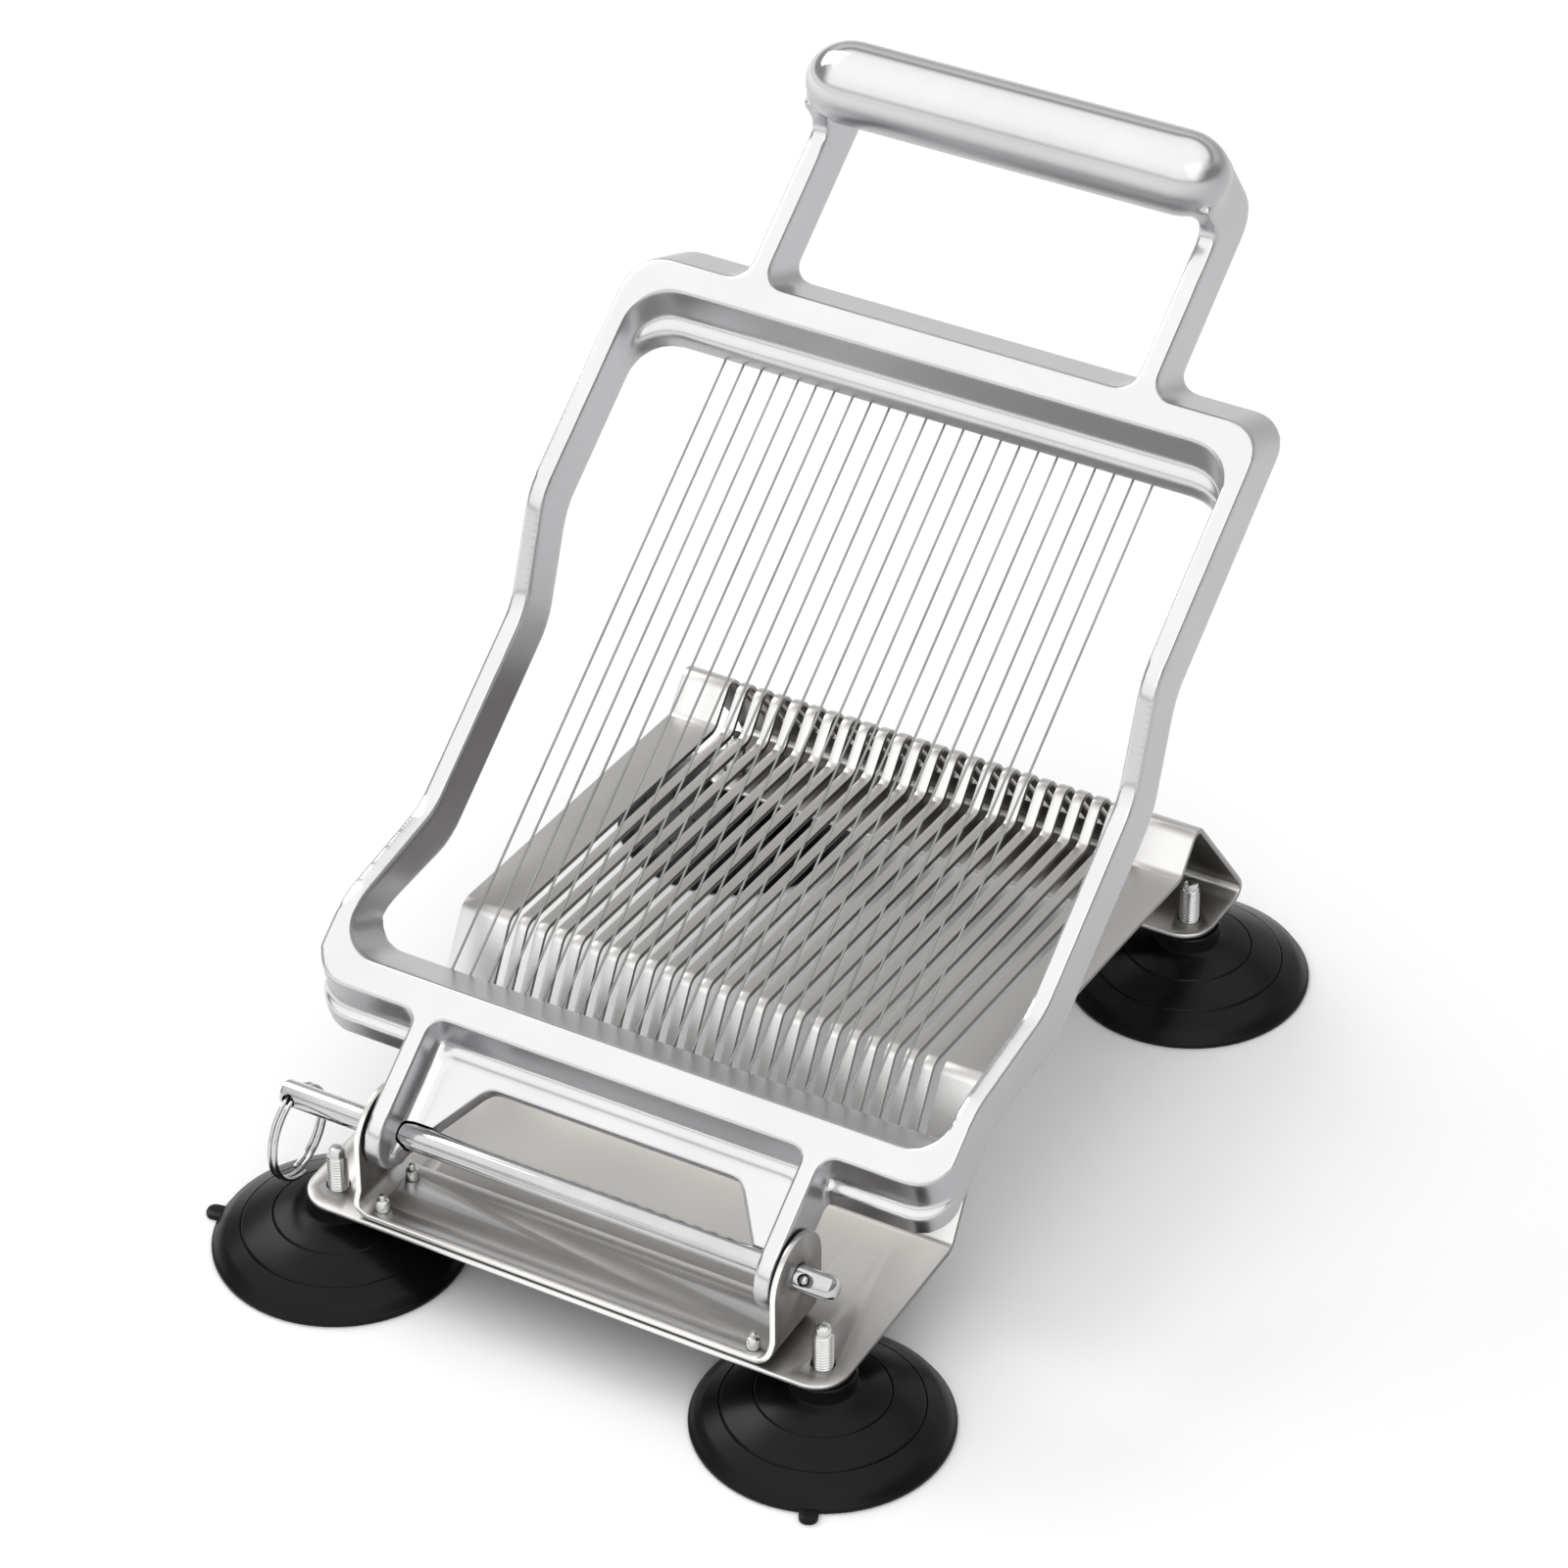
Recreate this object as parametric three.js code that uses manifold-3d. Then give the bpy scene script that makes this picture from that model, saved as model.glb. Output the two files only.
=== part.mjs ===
// Cheese slicer board: a slotted sheet steel base on four suction feet, and a wired cutting frame
// that swings on a pull-out pin. Millimetres, +X to the right, +Y to the handle, +Z up.
import * as THREE from 'three';
import { mergeVertices } from 'three/addons/utils/BufferGeometryUtils.js';
import Module from 'manifold-3d';

const wasm = await Module();
wasm.setup();

// Clearances
const GAP = 0.3;
const PIN_GAP = 0.45;
const OVERRUN = 2;

// Suction feet
const FOOT_SPACING_X = 130;
const FOOT_SPACING_Y = 190.6;
const CUP_RADIUS = 30.9;
const CUP_HEIGHT = 16.2;
const CUP_NECK_RADIUS = 8;
const CUP_NECK_FOOT = 12;
const CUP_RIM = 1.4;
const CUP_RIM_STEP = 0.8;
const CUP_EDGE = 0.5;
const CUP_HOLLOW = 3.4;
const CUP_SEAT_WIDTH = 3.2;
const CUP_CROWN = 1.4;
const CUP_GROOVE_RADII = [15.9, 23.7];
const CUP_GROOVE = 0.5;
const CUP_TAB_WIDTH = 4.5;
const CUP_TAB_LENGTH = 3.6;
const CUP_TAB_BEARINGS = [191, 293, 150, 155.7];

// Threaded studs of the feet
const STUD_RADIUS = 2.55;
const STUD_FLOOR = 1.8;
const STUD_ABOVE_SHEET = 9.2;
const STUD_POINT_RADIUS = 1.65;
const STUD_POINT_HEIGHT = 2;
const STUD_CHAMFER = 0.5;

// Bent sheet base: what each bend runs along Y and climbs along Z
const SHEET = 1.5;
const SIDE_OVERHANG = 7;
const FRONT_OVERHANG = 8.7;
const FRONT_PLATE = [58, 0];
const COMB_WALL = [20, 35.3];
const PLATFORM = [99.4, -6.7];
const REAR_WALL = [9.3, 11];
const BACK_SLOPE = [32.5, -41.1];
const REAR_FLANGE = [-28.2, 0];
const SHEET_BEND = 2.5;
const PLATE_CORNER = 8.5;

// Comb slots that the wires sink into
const WIRE_COUNT = 24;
const WIRE_PITCH = 5;
const SLOT_WIDTH = 2.2;
const SLOT_FRONT_HEIGHT = 13;
const SLOT_REAR_HEIGHT = 17.5;

// Hinge bracket
const EAR_INSET = 10.5;
const BRACKET_SHEET = 1.5;
const BRACKET_BEND = 3.5;
const BRACKET_SETBACK = 0.5;
const BRACKET_FOOT_DEPTH = 21.5;
const BRACKET_FOOT_RISE = 3;
const BRACKET_SHOULDER_RISE = 6;
const EAR_RADIUS = 11;

// Blind rivets of the bracket
const RIVET_RADIUS = 1.25;
const RIVET_ABOVE_FLOOR = 3;
const RIVET_PIP_RADIUS = 0.6;
const RIVET_PIP_HEIGHT = 1.5;
const RIVET_HEAD_RADIUS = 2.5;
const RIVET_HEAD = 0.9;
const RIVET_INSET = 4.9;
const RIVET_SPACING_Y = 13;
const RIVET_FROM_EDGE = 4;

// Hinge pin
const PIVOT_FROM_EDGE = 13.5;
const PIVOT_ABOVE_PLATE = 18;
const PIN_RADIUS = 3.15;
const PIN_PAST_LEFT_EAR = 26;
const PIN_PAST_RIGHT_EAR = 10;
const PIN_CHAMFER = 0.8;
const PIN_TIP_CHAMFER = 1.4;
const RING_HOLE_RADIUS = 1.7;
const RING_HOLE_FROM_END = 2.8;

// Split ring of the pin, two turns of one wire
const RING_RADIUS = 11.5;
const RING_WIRE = 1.1;
const RING_PITCH = 1.54;
const RING_TURNS = 2;
const RING_STEPS = 24;
const RING_SIDES = 6;

// Detent ball of the pin and the spring behind it
const BALL_RADIUS = 1.2;
const BALL_PROUD = 0.5;
const BALL_PAST_EAR = 2.5;
const BALL_BEARING = 140;
const BALL_TRAVEL = 0.5;
const SPRING_WIRE = 0.3;
const SPRING_RADIUS = 0.95;
const SPRING_PITCH = 0.75;
const SPRING_CURLS = 3;
const SPRING_STEPS = 8;
const SPRING_SIDES = 5;

// Cutting frame: its own axes are X, the reach from the pin and the height square to it
const FRAME_REST_DEGREES = 36.18;
const RAIL_CLEARANCE = 7.3;
const RAIL_WIDTH = 4.9;
const FRAME_TOP = 11;
const FRAME_BOTTOM = -4.2;
const FRAME_FRONT = 26.5;
const FRAME_REAR = 221;
const FRAME_CORNER = 9.5;
const LEDGE_HEIGHT = 2;
const LEDGE_WIDTH = 2.6;
const FRONT_BAR_WIDTH = 7.5;
const REAR_BAR_WIDTH = 7;
const WINDOW_STEP_HEIGHT = 3.4;
const WINDOW_STEP_WIDTH = 1.4;
const WINDOW_FRONT_CORNER = 9;
const WINDOW_REAR_CORNER = 10.5;
const FRONT_DRAFT_SHARE = 0.35;
const REAR_DRAFT_SHARE = 0.63;
const WINDOW_FRONT_DRAFT_SHARE = 0.51;
const WINDOW_REAR_DRAFT_SHARE = 0.5;

// Side rails, cranked down between the two cross bars
const RAIL_DROP = 16.4;
const CRANK_FRONT_START = 47;
const CRANK_FRONT_END = 74;
const CRANK_REAR_START = 131;
const CRANK_REAR_END = 155;
const CRANK_RADIUS = 6;

// Pivot arms, their eyes and the web between them
const ARM_CLEARANCE = 0.5;
const ARM_THICKNESS = 4.6;
const EYE_RADIUS = 9.5;
const WEB_HEIGHT = 1;
const WEB_FRONT = 16.5;
const WEB_GUSSET = 20.5;
const WEB_TOE = 7;
const WEB_CORNER = 4;

// Handle arms and grip
const HANDLE_ARM_HALF_WIDTH = 54.3;
const HANDLE_ARM_THICKNESS = 5;
const GRIP_RADIUS = 10.3;
const GRIP_FROM_REAR_BAR = 52;
const GRIP_HEIGHT = 21.5;
const GRIP_OVERHANG = 1.5;
const GRIP_DOME = 12;
const PILLAR_BEFORE_GRIP = 8.5;
const PILLAR_BEHIND_GRIP = 6;
const PILLAR_HEEL = 7.5;
const PILLAR_FILLET = 4;

// Wires, the barrels crimped on their ends and the screws that clamp their tails
const WIRE_RADIUS = 0.3;
const BARREL_RADIUS = 1;
const BARREL_LENGTH = 2.5;
const BARREL_INSET = 6;
const CLAMP_INSET = 5.5;
const WIRE_TAIL = 6;
const SCREW_FLANGE_RADIUS = 3.7;
const SCREW_FLANGE = 0.8;
const SCREW_HEX_RADIUS = 3.1;
const SCREW_HEX = 2.4;
const SCREW_GRIP = 5.5;

// Mesh fineness
const ARC_STEPS = 3;
const CUP_SIDES = 28;
const ROUND_SIDES = 16;
const GRIP_SIDES = 20;
const DOME_STEPS = 4;
const SMALL_SIDES = 10;
const WIRE_SIDES = 6;

// Worked out from the sizes above
const SHEET_BOTTOM = CUP_HEIGHT + GAP;
const PLATE_TOP = SHEET_BOTTOM + SHEET;
const PLATE_EDGE = -FOOT_SPACING_Y / 2 - FRONT_OVERHANG;
const PIVOT_Y = PLATE_EDGE + PIVOT_FROM_EDGE;
const PIVOT_Z = PLATE_TOP + PIVOT_ABOVE_PLATE;
const BRACKET_BOTTOM = PLATE_TOP + GAP;
const BRACKET_FLOOR = BRACKET_BOTTOM + BRACKET_SHEET;
const BRACKET_SPAN = FOOT_SPACING_X - 2 * EAR_INSET;
const EAR_OUTSIDE = BRACKET_SPAN / 2 + BRACKET_SHEET;
const PIN_LEFT = EAR_OUTSIDE + PIN_PAST_LEFT_EAR;
const PIN_RIGHT = EAR_OUTSIDE + PIN_PAST_RIGHT_EAR;
const BALL_X = EAR_OUTSIDE + BALL_PAST_EAR;
const BALL_SEAT = PIN_RADIUS + BALL_PROUD - BALL_RADIUS;
const RING_X = RING_HOLE_FROM_END - PIN_LEFT;
const HOLE_RADIUS = PIN_RADIUS + PIN_GAP;
const BASE_WIDTH = FOOT_SPACING_X + 2 * SIDE_OVERHANG;
const FRAME_HALF_WIDTH = BASE_WIDTH / 2 + RAIL_CLEARANCE + RAIL_WIDTH;
const ARM_HALF_WIDTH = BRACKET_SPAN / 2 - ARM_CLEARANCE;
const WEB_NOTCH_HALF_WIDTH = ARM_HALF_WIDTH - WEB_GUSSET;
const WIRE_HEIGHT = FRAME_BOTTOM - GAP - WIRE_RADIUS;
const SCREW_RADIUS = WIRE_PITCH / 2 - WIRE_RADIUS - GAP;
const CLAMP_COUNT = WIRE_COUNT / 2;
const WINDOW_FRONT = FRAME_FRONT + FRONT_BAR_WIDTH;
const WINDOW_REAR = FRAME_REAR - REAR_BAR_WIDTH;
const GRIP_REACH = FRAME_REAR + GRIP_FROM_REAR_BAR;
const GRIP_HALF_LENGTH = HANDLE_ARM_HALF_WIDTH + GRIP_OVERHANG;
const PILLAR_FRONT = GRIP_REACH - PILLAR_BEFORE_GRIP;
const PILLAR_REAR = GRIP_REACH + PILLAR_BEHIND_GRIP;
const BARREL_REACH = FRAME_REAR - BARREL_INSET;
const CLAMP_REACH = FRAME_FRONT + CLAMP_INSET;
const CLAMP_PITCH = WIRE_PITCH * 2;

const STEEL_SHEET = { color: 0xb9b2a8, roughness: 0.28, metalness: 1 };
const POLISHED_ALUMINIUM = { color: 0xe6e4e8, roughness: 0.16, metalness: 1 };
const POLISHED_STEEL = { color: 0xd6d6d8, roughness: 0.12, metalness: 1 };
const WIRE_STEEL = { color: 0xa8a6a4, roughness: 0.3, metalness: 1 };
const PLATED_STEEL = { color: 0xc4c4c2, roughness: 0.35, metalness: 1 };
const BLACK_RUBBER = { color: 0x121214, roughness: 0.42, metalness: 0 };

// Closed mesh to solid and back
function solid(geometry) {
  const bare = geometry.clone();
  bare.deleteAttribute('normal');
  bare.deleteAttribute('uv');
  const merged = mergeVertices(bare);
  const corners = merged.index.array;
  const kept = [];
  for (let i = 0; i < corners.length; i += 3) {
    const [a, b, c] = [corners[i], corners[i + 1], corners[i + 2]];
    if (a !== b && b !== c && c !== a) {
      kept.push(a, b, c);
    }
  }
  const vertProperties = new Float32Array(merged.attributes.position.array);
  const made = new wasm.Manifold(new wasm.Mesh({
    numProp: 3,
    vertProperties,
    triVerts: new Uint32Array(kept),
  }));
  if (made.volume() > 0) {
    return made;
  }
  const turned = [];
  for (let i = 0; i < kept.length; i += 3) {
    turned.push(kept[i], kept[i + 2], kept[i + 1]);
  }
  return new wasm.Manifold(new wasm.Mesh({
    numProp: 3,
    vertProperties,
    triVerts: new Uint32Array(turned),
  }));
}

function surface(made) {
  const mesh = made.getMesh();
  const geometry = new THREE.BufferGeometry();
  geometry.setAttribute('position', new THREE.BufferAttribute(mesh.vertProperties, mesh.numProp));
  geometry.setIndex(new THREE.BufferAttribute(mesh.triVerts, 1));
  geometry.computeVertexNormals();
  return geometry;
}

function joined(solids) {
  return solids.reduce((whole, next) => whole.add(next));
}

function without(made, cutters) {
  return made.subtract(joined(cutters));
}

// Corner points [x, y, radius] of an outline, with each radius drawn as an arc
function rounded(corners, steps = ARC_STEPS) {
  const points = [];
  corners.forEach(([x, y, radius = 0], index) => {
    const corner = new THREE.Vector2(x, y);
    if (radius === 0) {
      points.push(corner);
      return;
    }
    const last = corners.at(index - 1);
    const next = corners[(index + 1) % corners.length];
    const back = new THREE.Vector2(last[0], last[1]).sub(corner).normalize();
    const ahead = new THREE.Vector2(next[0], next[1]).sub(corner).normalize();
    const half = Math.acos(THREE.MathUtils.clamp(back.dot(ahead), -1, 1)) / 2;
    const start = back.clone().multiplyScalar(radius / Math.tan(half)).add(corner);
    const end = ahead.clone().multiplyScalar(radius / Math.tan(half)).add(corner);
    const middle = back.clone().add(ahead).normalize();
    const centre = middle.multiplyScalar(radius / Math.sin(half)).add(corner);
    const from = start.clone().sub(centre);
    const to = end.clone().sub(centre);
    const sweep = Math.atan2(from.cross(to), from.dot(to));
    for (let step = 0; step <= steps; step += 1) {
      const spoke = from.clone().rotateAround(new THREE.Vector2(), sweep * step / steps);
      points.push(spoke.add(centre));
    }
  });
  return points;
}

// Outline of a bent sheet whose left surface follows the path
function sheetOutline(path, thickness, bend) {
  const left = [];
  const right = [];
  path.forEach(([x, y], index) => {
    const here = new THREE.Vector2(x, y);
    const last = path[index - 1];
    const next = path[index + 1];
    const arriving = last && here.clone().sub(new THREE.Vector2(...last)).normalize();
    const leaving = next && new THREE.Vector2(...next).sub(here).normalize();
    const first = arriving ?? leaving;
    const second = leaving ?? arriving;
    const normals = [first, second].map((way) => new THREE.Vector2(-way.y, way.x));
    const mitre = normals[0].clone().add(normals[1]);
    mitre.multiplyScalar(thickness / (1 + normals[0].dot(normals[1])));
    const turn = first.cross(second);
    const isBend = last !== undefined && next !== undefined;
    const leftRadius = turn > 0 ? bend : bend + thickness;
    const rightRadius = turn > 0 ? bend + thickness : bend;
    left.push([here.x, here.y, isBend ? leftRadius : 0]);
    right.push([here.x - mitre.x, here.y - mitre.y, isBend ? rightRadius : 0]);
  });
  return rounded([...left, ...right.reverse()]);
}

// Path whose corners are reached by steps of [along, up] from a start
function stepped(start, steps) {
  const path = [start];
  steps.forEach(([along, up]) => {
    const [x, y] = path.at(-1);
    path.push([x + along, y + up]);
  });
  return path;
}

function extruded(points, depth) {
  return new THREE.ExtrudeGeometry(new THREE.Shape(points), { depth, bevelEnabled: false });
}

// Outline in Y and Z, carried along X between two places
function acrossX(points, from, to) {
  const geometry = extruded(points, to - from);
  const basis = new THREE.Matrix4().makeBasis(
    new THREE.Vector3(0, 1, 0),
    new THREE.Vector3(0, 0, 1),
    new THREE.Vector3(1, 0, 0),
  );
  geometry.applyMatrix4(basis);
  geometry.translate(from, 0, 0);
  return solid(geometry);
}

// Outline in X and Z, carried along Y between two places
function alongY(points, from, to) {
  const geometry = extruded(points, to - from);
  const basis = new THREE.Matrix4().makeBasis(
    new THREE.Vector3(1, 0, 0),
    new THREE.Vector3(0, 0, 1),
    new THREE.Vector3(0, -1, 0),
  );
  geometry.applyMatrix4(basis);
  geometry.translate(0, to, 0);
  return solid(geometry);
}

// Outline in X and Y, carried up between two heights
function upright(points, from, to) {
  const geometry = extruded(points, to - from);
  geometry.translate(0, 0, from);
  return solid(geometry);
}

// Wall that leans from one outline at the low height to another at the high one
function tapered(low, high, from, to) {
  const count = low.length;
  const places = [
    ...low.flatMap((point) => [point.x, point.y, from]),
    ...high.flatMap((point) => [point.x, point.y, to]),
  ];
  const faces = [];
  THREE.ShapeUtils.triangulateShape(low, []).forEach(([a, b, c]) => faces.push(a, c, b));
  THREE.ShapeUtils.triangulateShape(high, []).forEach(([a, b, c]) => {
    faces.push(a + count, b + count, c + count);
  });
  for (let i = 0; i < count; i += 1) {
    const next = (i + 1) % count;
    faces.push(i, next, next + count, i, next + count, i + count);
  }
  const geometry = new THREE.BufferGeometry();
  geometry.setAttribute('position', new THREE.Float32BufferAttribute(places, 3));
  geometry.setIndex(faces);
  return solid(geometry);
}

function block(low, high) {
  const size = high.map((value, axis) => value - low[axis]);
  const geometry = new THREE.BoxGeometry(...size);
  geometry.translate(...low.map((value, axis) => value + size[axis] / 2));
  return solid(geometry);
}

// Profile [radius, height] turned about Z
function turned(profile, sides) {
  const geometry = new THREE.LatheGeometry(profile.map(([r, z]) => new THREE.Vector2(r, z)), sides);
  geometry.rotateX(Math.PI / 2);
  return solid(geometry);
}

function rodZ(radius, from, to, sides, x = 0, y = 0) {
  return turned([[0, from], [radius, from], [radius, to], [0, to]], sides).translate([x, y, 0]);
}

// Profile [radius, place] turned about X
function turnedX(profile, sides) {
  const geometry = new THREE.LatheGeometry(profile.map(([r, x]) => new THREE.Vector2(r, x)), sides);
  geometry.rotateZ(-Math.PI / 2);
  return solid(geometry);
}

function rodX(radius, from, to, sides, y = 0, z = 0) {
  return turnedX([[0, from], [radius, from], [radius, to], [0, to]], sides).translate([0, y, z]);
}

// Tube of even section that follows a list of points, with flat ends
function tube(points, radius, sides) {
  const places = [];
  const faces = [];
  const ahead = (i) => {
    const from = points[Math.max(i - 1, 0)];
    const to = points[Math.min(i + 1, points.length - 1)];
    return to.clone().sub(from).normalize();
  };
  const first = ahead(0);
  const aside = Math.abs(first.z) < 0.5 ? new THREE.Vector3(0, 0, 1) : new THREE.Vector3(1, 0, 0);
  let spoke = aside.sub(first.clone().multiplyScalar(aside.dot(first))).normalize();
  points.forEach((point, i) => {
    const way = ahead(i);
    spoke = spoke.sub(way.clone().multiplyScalar(spoke.dot(way))).normalize();
    const across = way.clone().cross(spoke);
    for (let side = 0; side < sides; side += 1) {
      const angle = 2 * Math.PI * side / sides;
      const out = spoke.clone().multiplyScalar(Math.cos(angle));
      out.addScaledVector(across, Math.sin(angle)).multiplyScalar(radius).add(point);
      places.push(out.x, out.y, out.z);
    }
  });
  for (let i = 0; i < points.length - 1; i += 1) {
    for (let side = 0; side < sides; side += 1) {
      const next = (side + 1) % sides;
      const [a, b] = [i * sides + side, i * sides + next];
      faces.push(a, b, b + sides, a, b + sides, a + sides);
    }
  }
  const end = (points.length - 1) * sides;
  for (let side = 1; side < sides - 1; side += 1) {
    faces.push(0, side + 1, side, end, end + side, end + side + 1);
  }
  const geometry = new THREE.BufferGeometry();
  geometry.setAttribute('position', new THREE.Float32BufferAttribute(places, 3));
  geometry.setIndex(faces);
  return solid(geometry);
}

// Coil round X: its centre line points
function coil(radius, pitch, turns, steps, startAngle) {
  const points = [];
  for (let i = 0; i <= turns * steps; i += 1) {
    const angle = startAngle + 2 * Math.PI * i / steps;
    const along = pitch * (i / steps - turns / 2);
    points.push(new THREE.Vector3(along, radius * Math.cos(angle), radius * Math.sin(angle)));
  }
  return points;
}

// Least gap between the turns of a coil, measured from point to point
function coilGap(points, steps, wire) {
  let least = Infinity;
  for (let i = 0; i < points.length; i += 1) {
    for (let j = i + Math.floor(steps / 2); j < points.length; j += 1) {
      least = Math.min(least, points[i].distanceTo(points[j]));
    }
  }
  return least - wire;
}

function piece(name, made, finish) {
  const mesh = new THREE.Mesh(surface(made), new THREE.MeshStandardMaterial(finish));
  mesh.name = name;
  return mesh;
}

function numbered(name, index) {
  return `${name}_${String(index + 1).padStart(2, '0')}`;
}

// Places that several pieces share
const FEET = [
  ['front_left', -1, -1],
  ['front_right', 1, -1],
  ['rear_left', -1, 1],
  ['rear_right', 1, 1],
].map(([name, x, y]) => [name, x * FOOT_SPACING_X / 2, y * FOOT_SPACING_Y / 2]);
const RIVET_PLACES = [-1, 1].flatMap((side) => [0, 1].map((row) => [
  side * (BRACKET_SPAN / 2 - RIVET_INSET),
  PLATE_EDGE + RIVET_FROM_EDGE + row * RIVET_SPACING_Y,
]));
const WIRE_PLACES = Array.from(
  { length: WIRE_COUNT },
  (_, i) => WIRE_PITCH * (i - (WIRE_COUNT - 1) / 2),
);
const CLAMP_PLACES = Array.from(
  { length: CLAMP_COUNT },
  (_, i) => CLAMP_PITCH * (i - (CLAMP_COUNT - 1) / 2),
);

// What is left outside a rounded plan corner, so that cutting it rounds the corner
function cornerCutter(x, y, radius, low, high) {
  const [inX, inY] = [x - Math.sign(x) * radius, y + radius];
  const square = block(
    [Math.min(x, inX) - OVERRUN * (x < 0), y - OVERRUN, low],
    [Math.max(x, inX) + OVERRUN * (x > 0), inY, high],
  );
  return square.subtract(rodZ(radius, low - OVERRUN, high + OVERRUN, ROUND_SIDES, inX, inY));
}

function basePlate() {
  const path = stepped(
    [PLATE_EDGE, PLATE_TOP],
    [FRONT_PLATE, COMB_WALL, PLATFORM, REAR_WALL, BACK_SLOPE, REAR_FLANGE],
  );
  const half = BASE_WIDTH / 2;
  const outline = sheetOutline(path, SHEET, SHEET_BEND);
  const slotFront = PLATE_EDGE + FRONT_PLATE[0];
  const slotRear = path[5][0] + OVERRUN;
  const above = path[4][1] + OVERRUN;
  const slot = [
    new THREE.Vector2(slotFront, PLATE_TOP + SLOT_FRONT_HEIGHT),
    new THREE.Vector2(slotRear, PLATE_TOP + SLOT_REAR_HEIGHT),
    new THREE.Vector2(slotRear, above),
    new THREE.Vector2(slotFront, above),
  ];
  const [low, high] = [SHEET_BOTTOM - OVERRUN, PLATE_TOP + OVERRUN];
  const flangeEdge = path.at(-1)[0];
  return without(acrossX(outline, -half, half), [
    ...WIRE_PLACES.map((x) => acrossX(slot, x - SLOT_WIDTH / 2, x + SLOT_WIDTH / 2)),
    ...[-half, half].map((x) => cornerCutter(x, PLATE_EDGE, PLATE_CORNER, low, high)),
    ...[-half, half].map((x) => cornerCutter(x, flangeEdge, PLATE_CORNER, low, high)),
    ...FEET.map(([, x, y]) => rodZ(STUD_RADIUS + GAP, low, high, SMALL_SIDES, x, y)),
    ...RIVET_PLACES.map(([x, y]) => rodZ(RIVET_RADIUS + GAP, low, high, SMALL_SIDES, x, y)),
  ]);
}

function hingeBracket() {
  const half = BRACKET_SPAN / 2;
  const top = PIVOT_Z + EAR_RADIUS + OVERRUN;
  const channel = sheetOutline(
    [[-half, top], [-half, BRACKET_FLOOR], [half, BRACKET_FLOOR], [half, top]],
    BRACKET_SHEET,
    BRACKET_BEND,
  );
  const front = PLATE_EDGE + BRACKET_SETBACK;
  const rear = front + BRACKET_FOOT_DEPTH;
  const side = new THREE.Shape();
  side.moveTo(front, BRACKET_BOTTOM - OVERRUN);
  side.lineTo(rear, BRACKET_BOTTOM - OVERRUN);
  side.lineTo(rear, BRACKET_BOTTOM + BRACKET_FOOT_RISE);
  side.lineTo(PIVOT_Y + EAR_RADIUS, PIVOT_Z - BRACKET_SHOULDER_RISE);
  side.absarc(PIVOT_Y, PIVOT_Z, EAR_RADIUS, 0, Math.PI);
  side.lineTo(PIVOT_Y - EAR_RADIUS, BRACKET_BOTTOM + BRACKET_SHOULDER_RISE);
  side.lineTo(front, BRACKET_BOTTOM + BRACKET_FOOT_RISE);
  const strip = alongY(channel, front - OVERRUN, PIVOT_Y + EAR_RADIUS + OVERRUN);
  const ears = acrossX(side.extractPoints(ROUND_SIDES).shape, -EAR_OUTSIDE, EAR_OUTSIDE);
  return without(strip.intersect(ears), [
    rodX(HOLE_RADIUS, -EAR_OUTSIDE - OVERRUN, EAR_OUTSIDE + OVERRUN, ROUND_SIDES, PIVOT_Y, PIVOT_Z),
    ...RIVET_PLACES.map(([x, y]) => rodZ(
      RIVET_RADIUS + GAP,
      BRACKET_BOTTOM - OVERRUN,
      BRACKET_FLOOR + OVERRUN,
      SMALL_SIDES,
      x,
      y,
    )),
  ]);
}

function rivet() {
  const head = SHEET_BOTTOM - GAP;
  const top = BRACKET_FLOOR + RIVET_ABOVE_FLOOR;
  return turned([
    [0, head - RIVET_HEAD],
    [RIVET_HEAD_RADIUS, head - RIVET_HEAD],
    [RIVET_HEAD_RADIUS, head],
    [RIVET_RADIUS, head],
    [RIVET_RADIUS, top],
    [RIVET_PIP_RADIUS, top],
    [RIVET_PIP_RADIUS, top + RIVET_PIP_HEIGHT],
    [0, top + RIVET_PIP_HEIGHT],
  ], SMALL_SIDES);
}

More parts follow.
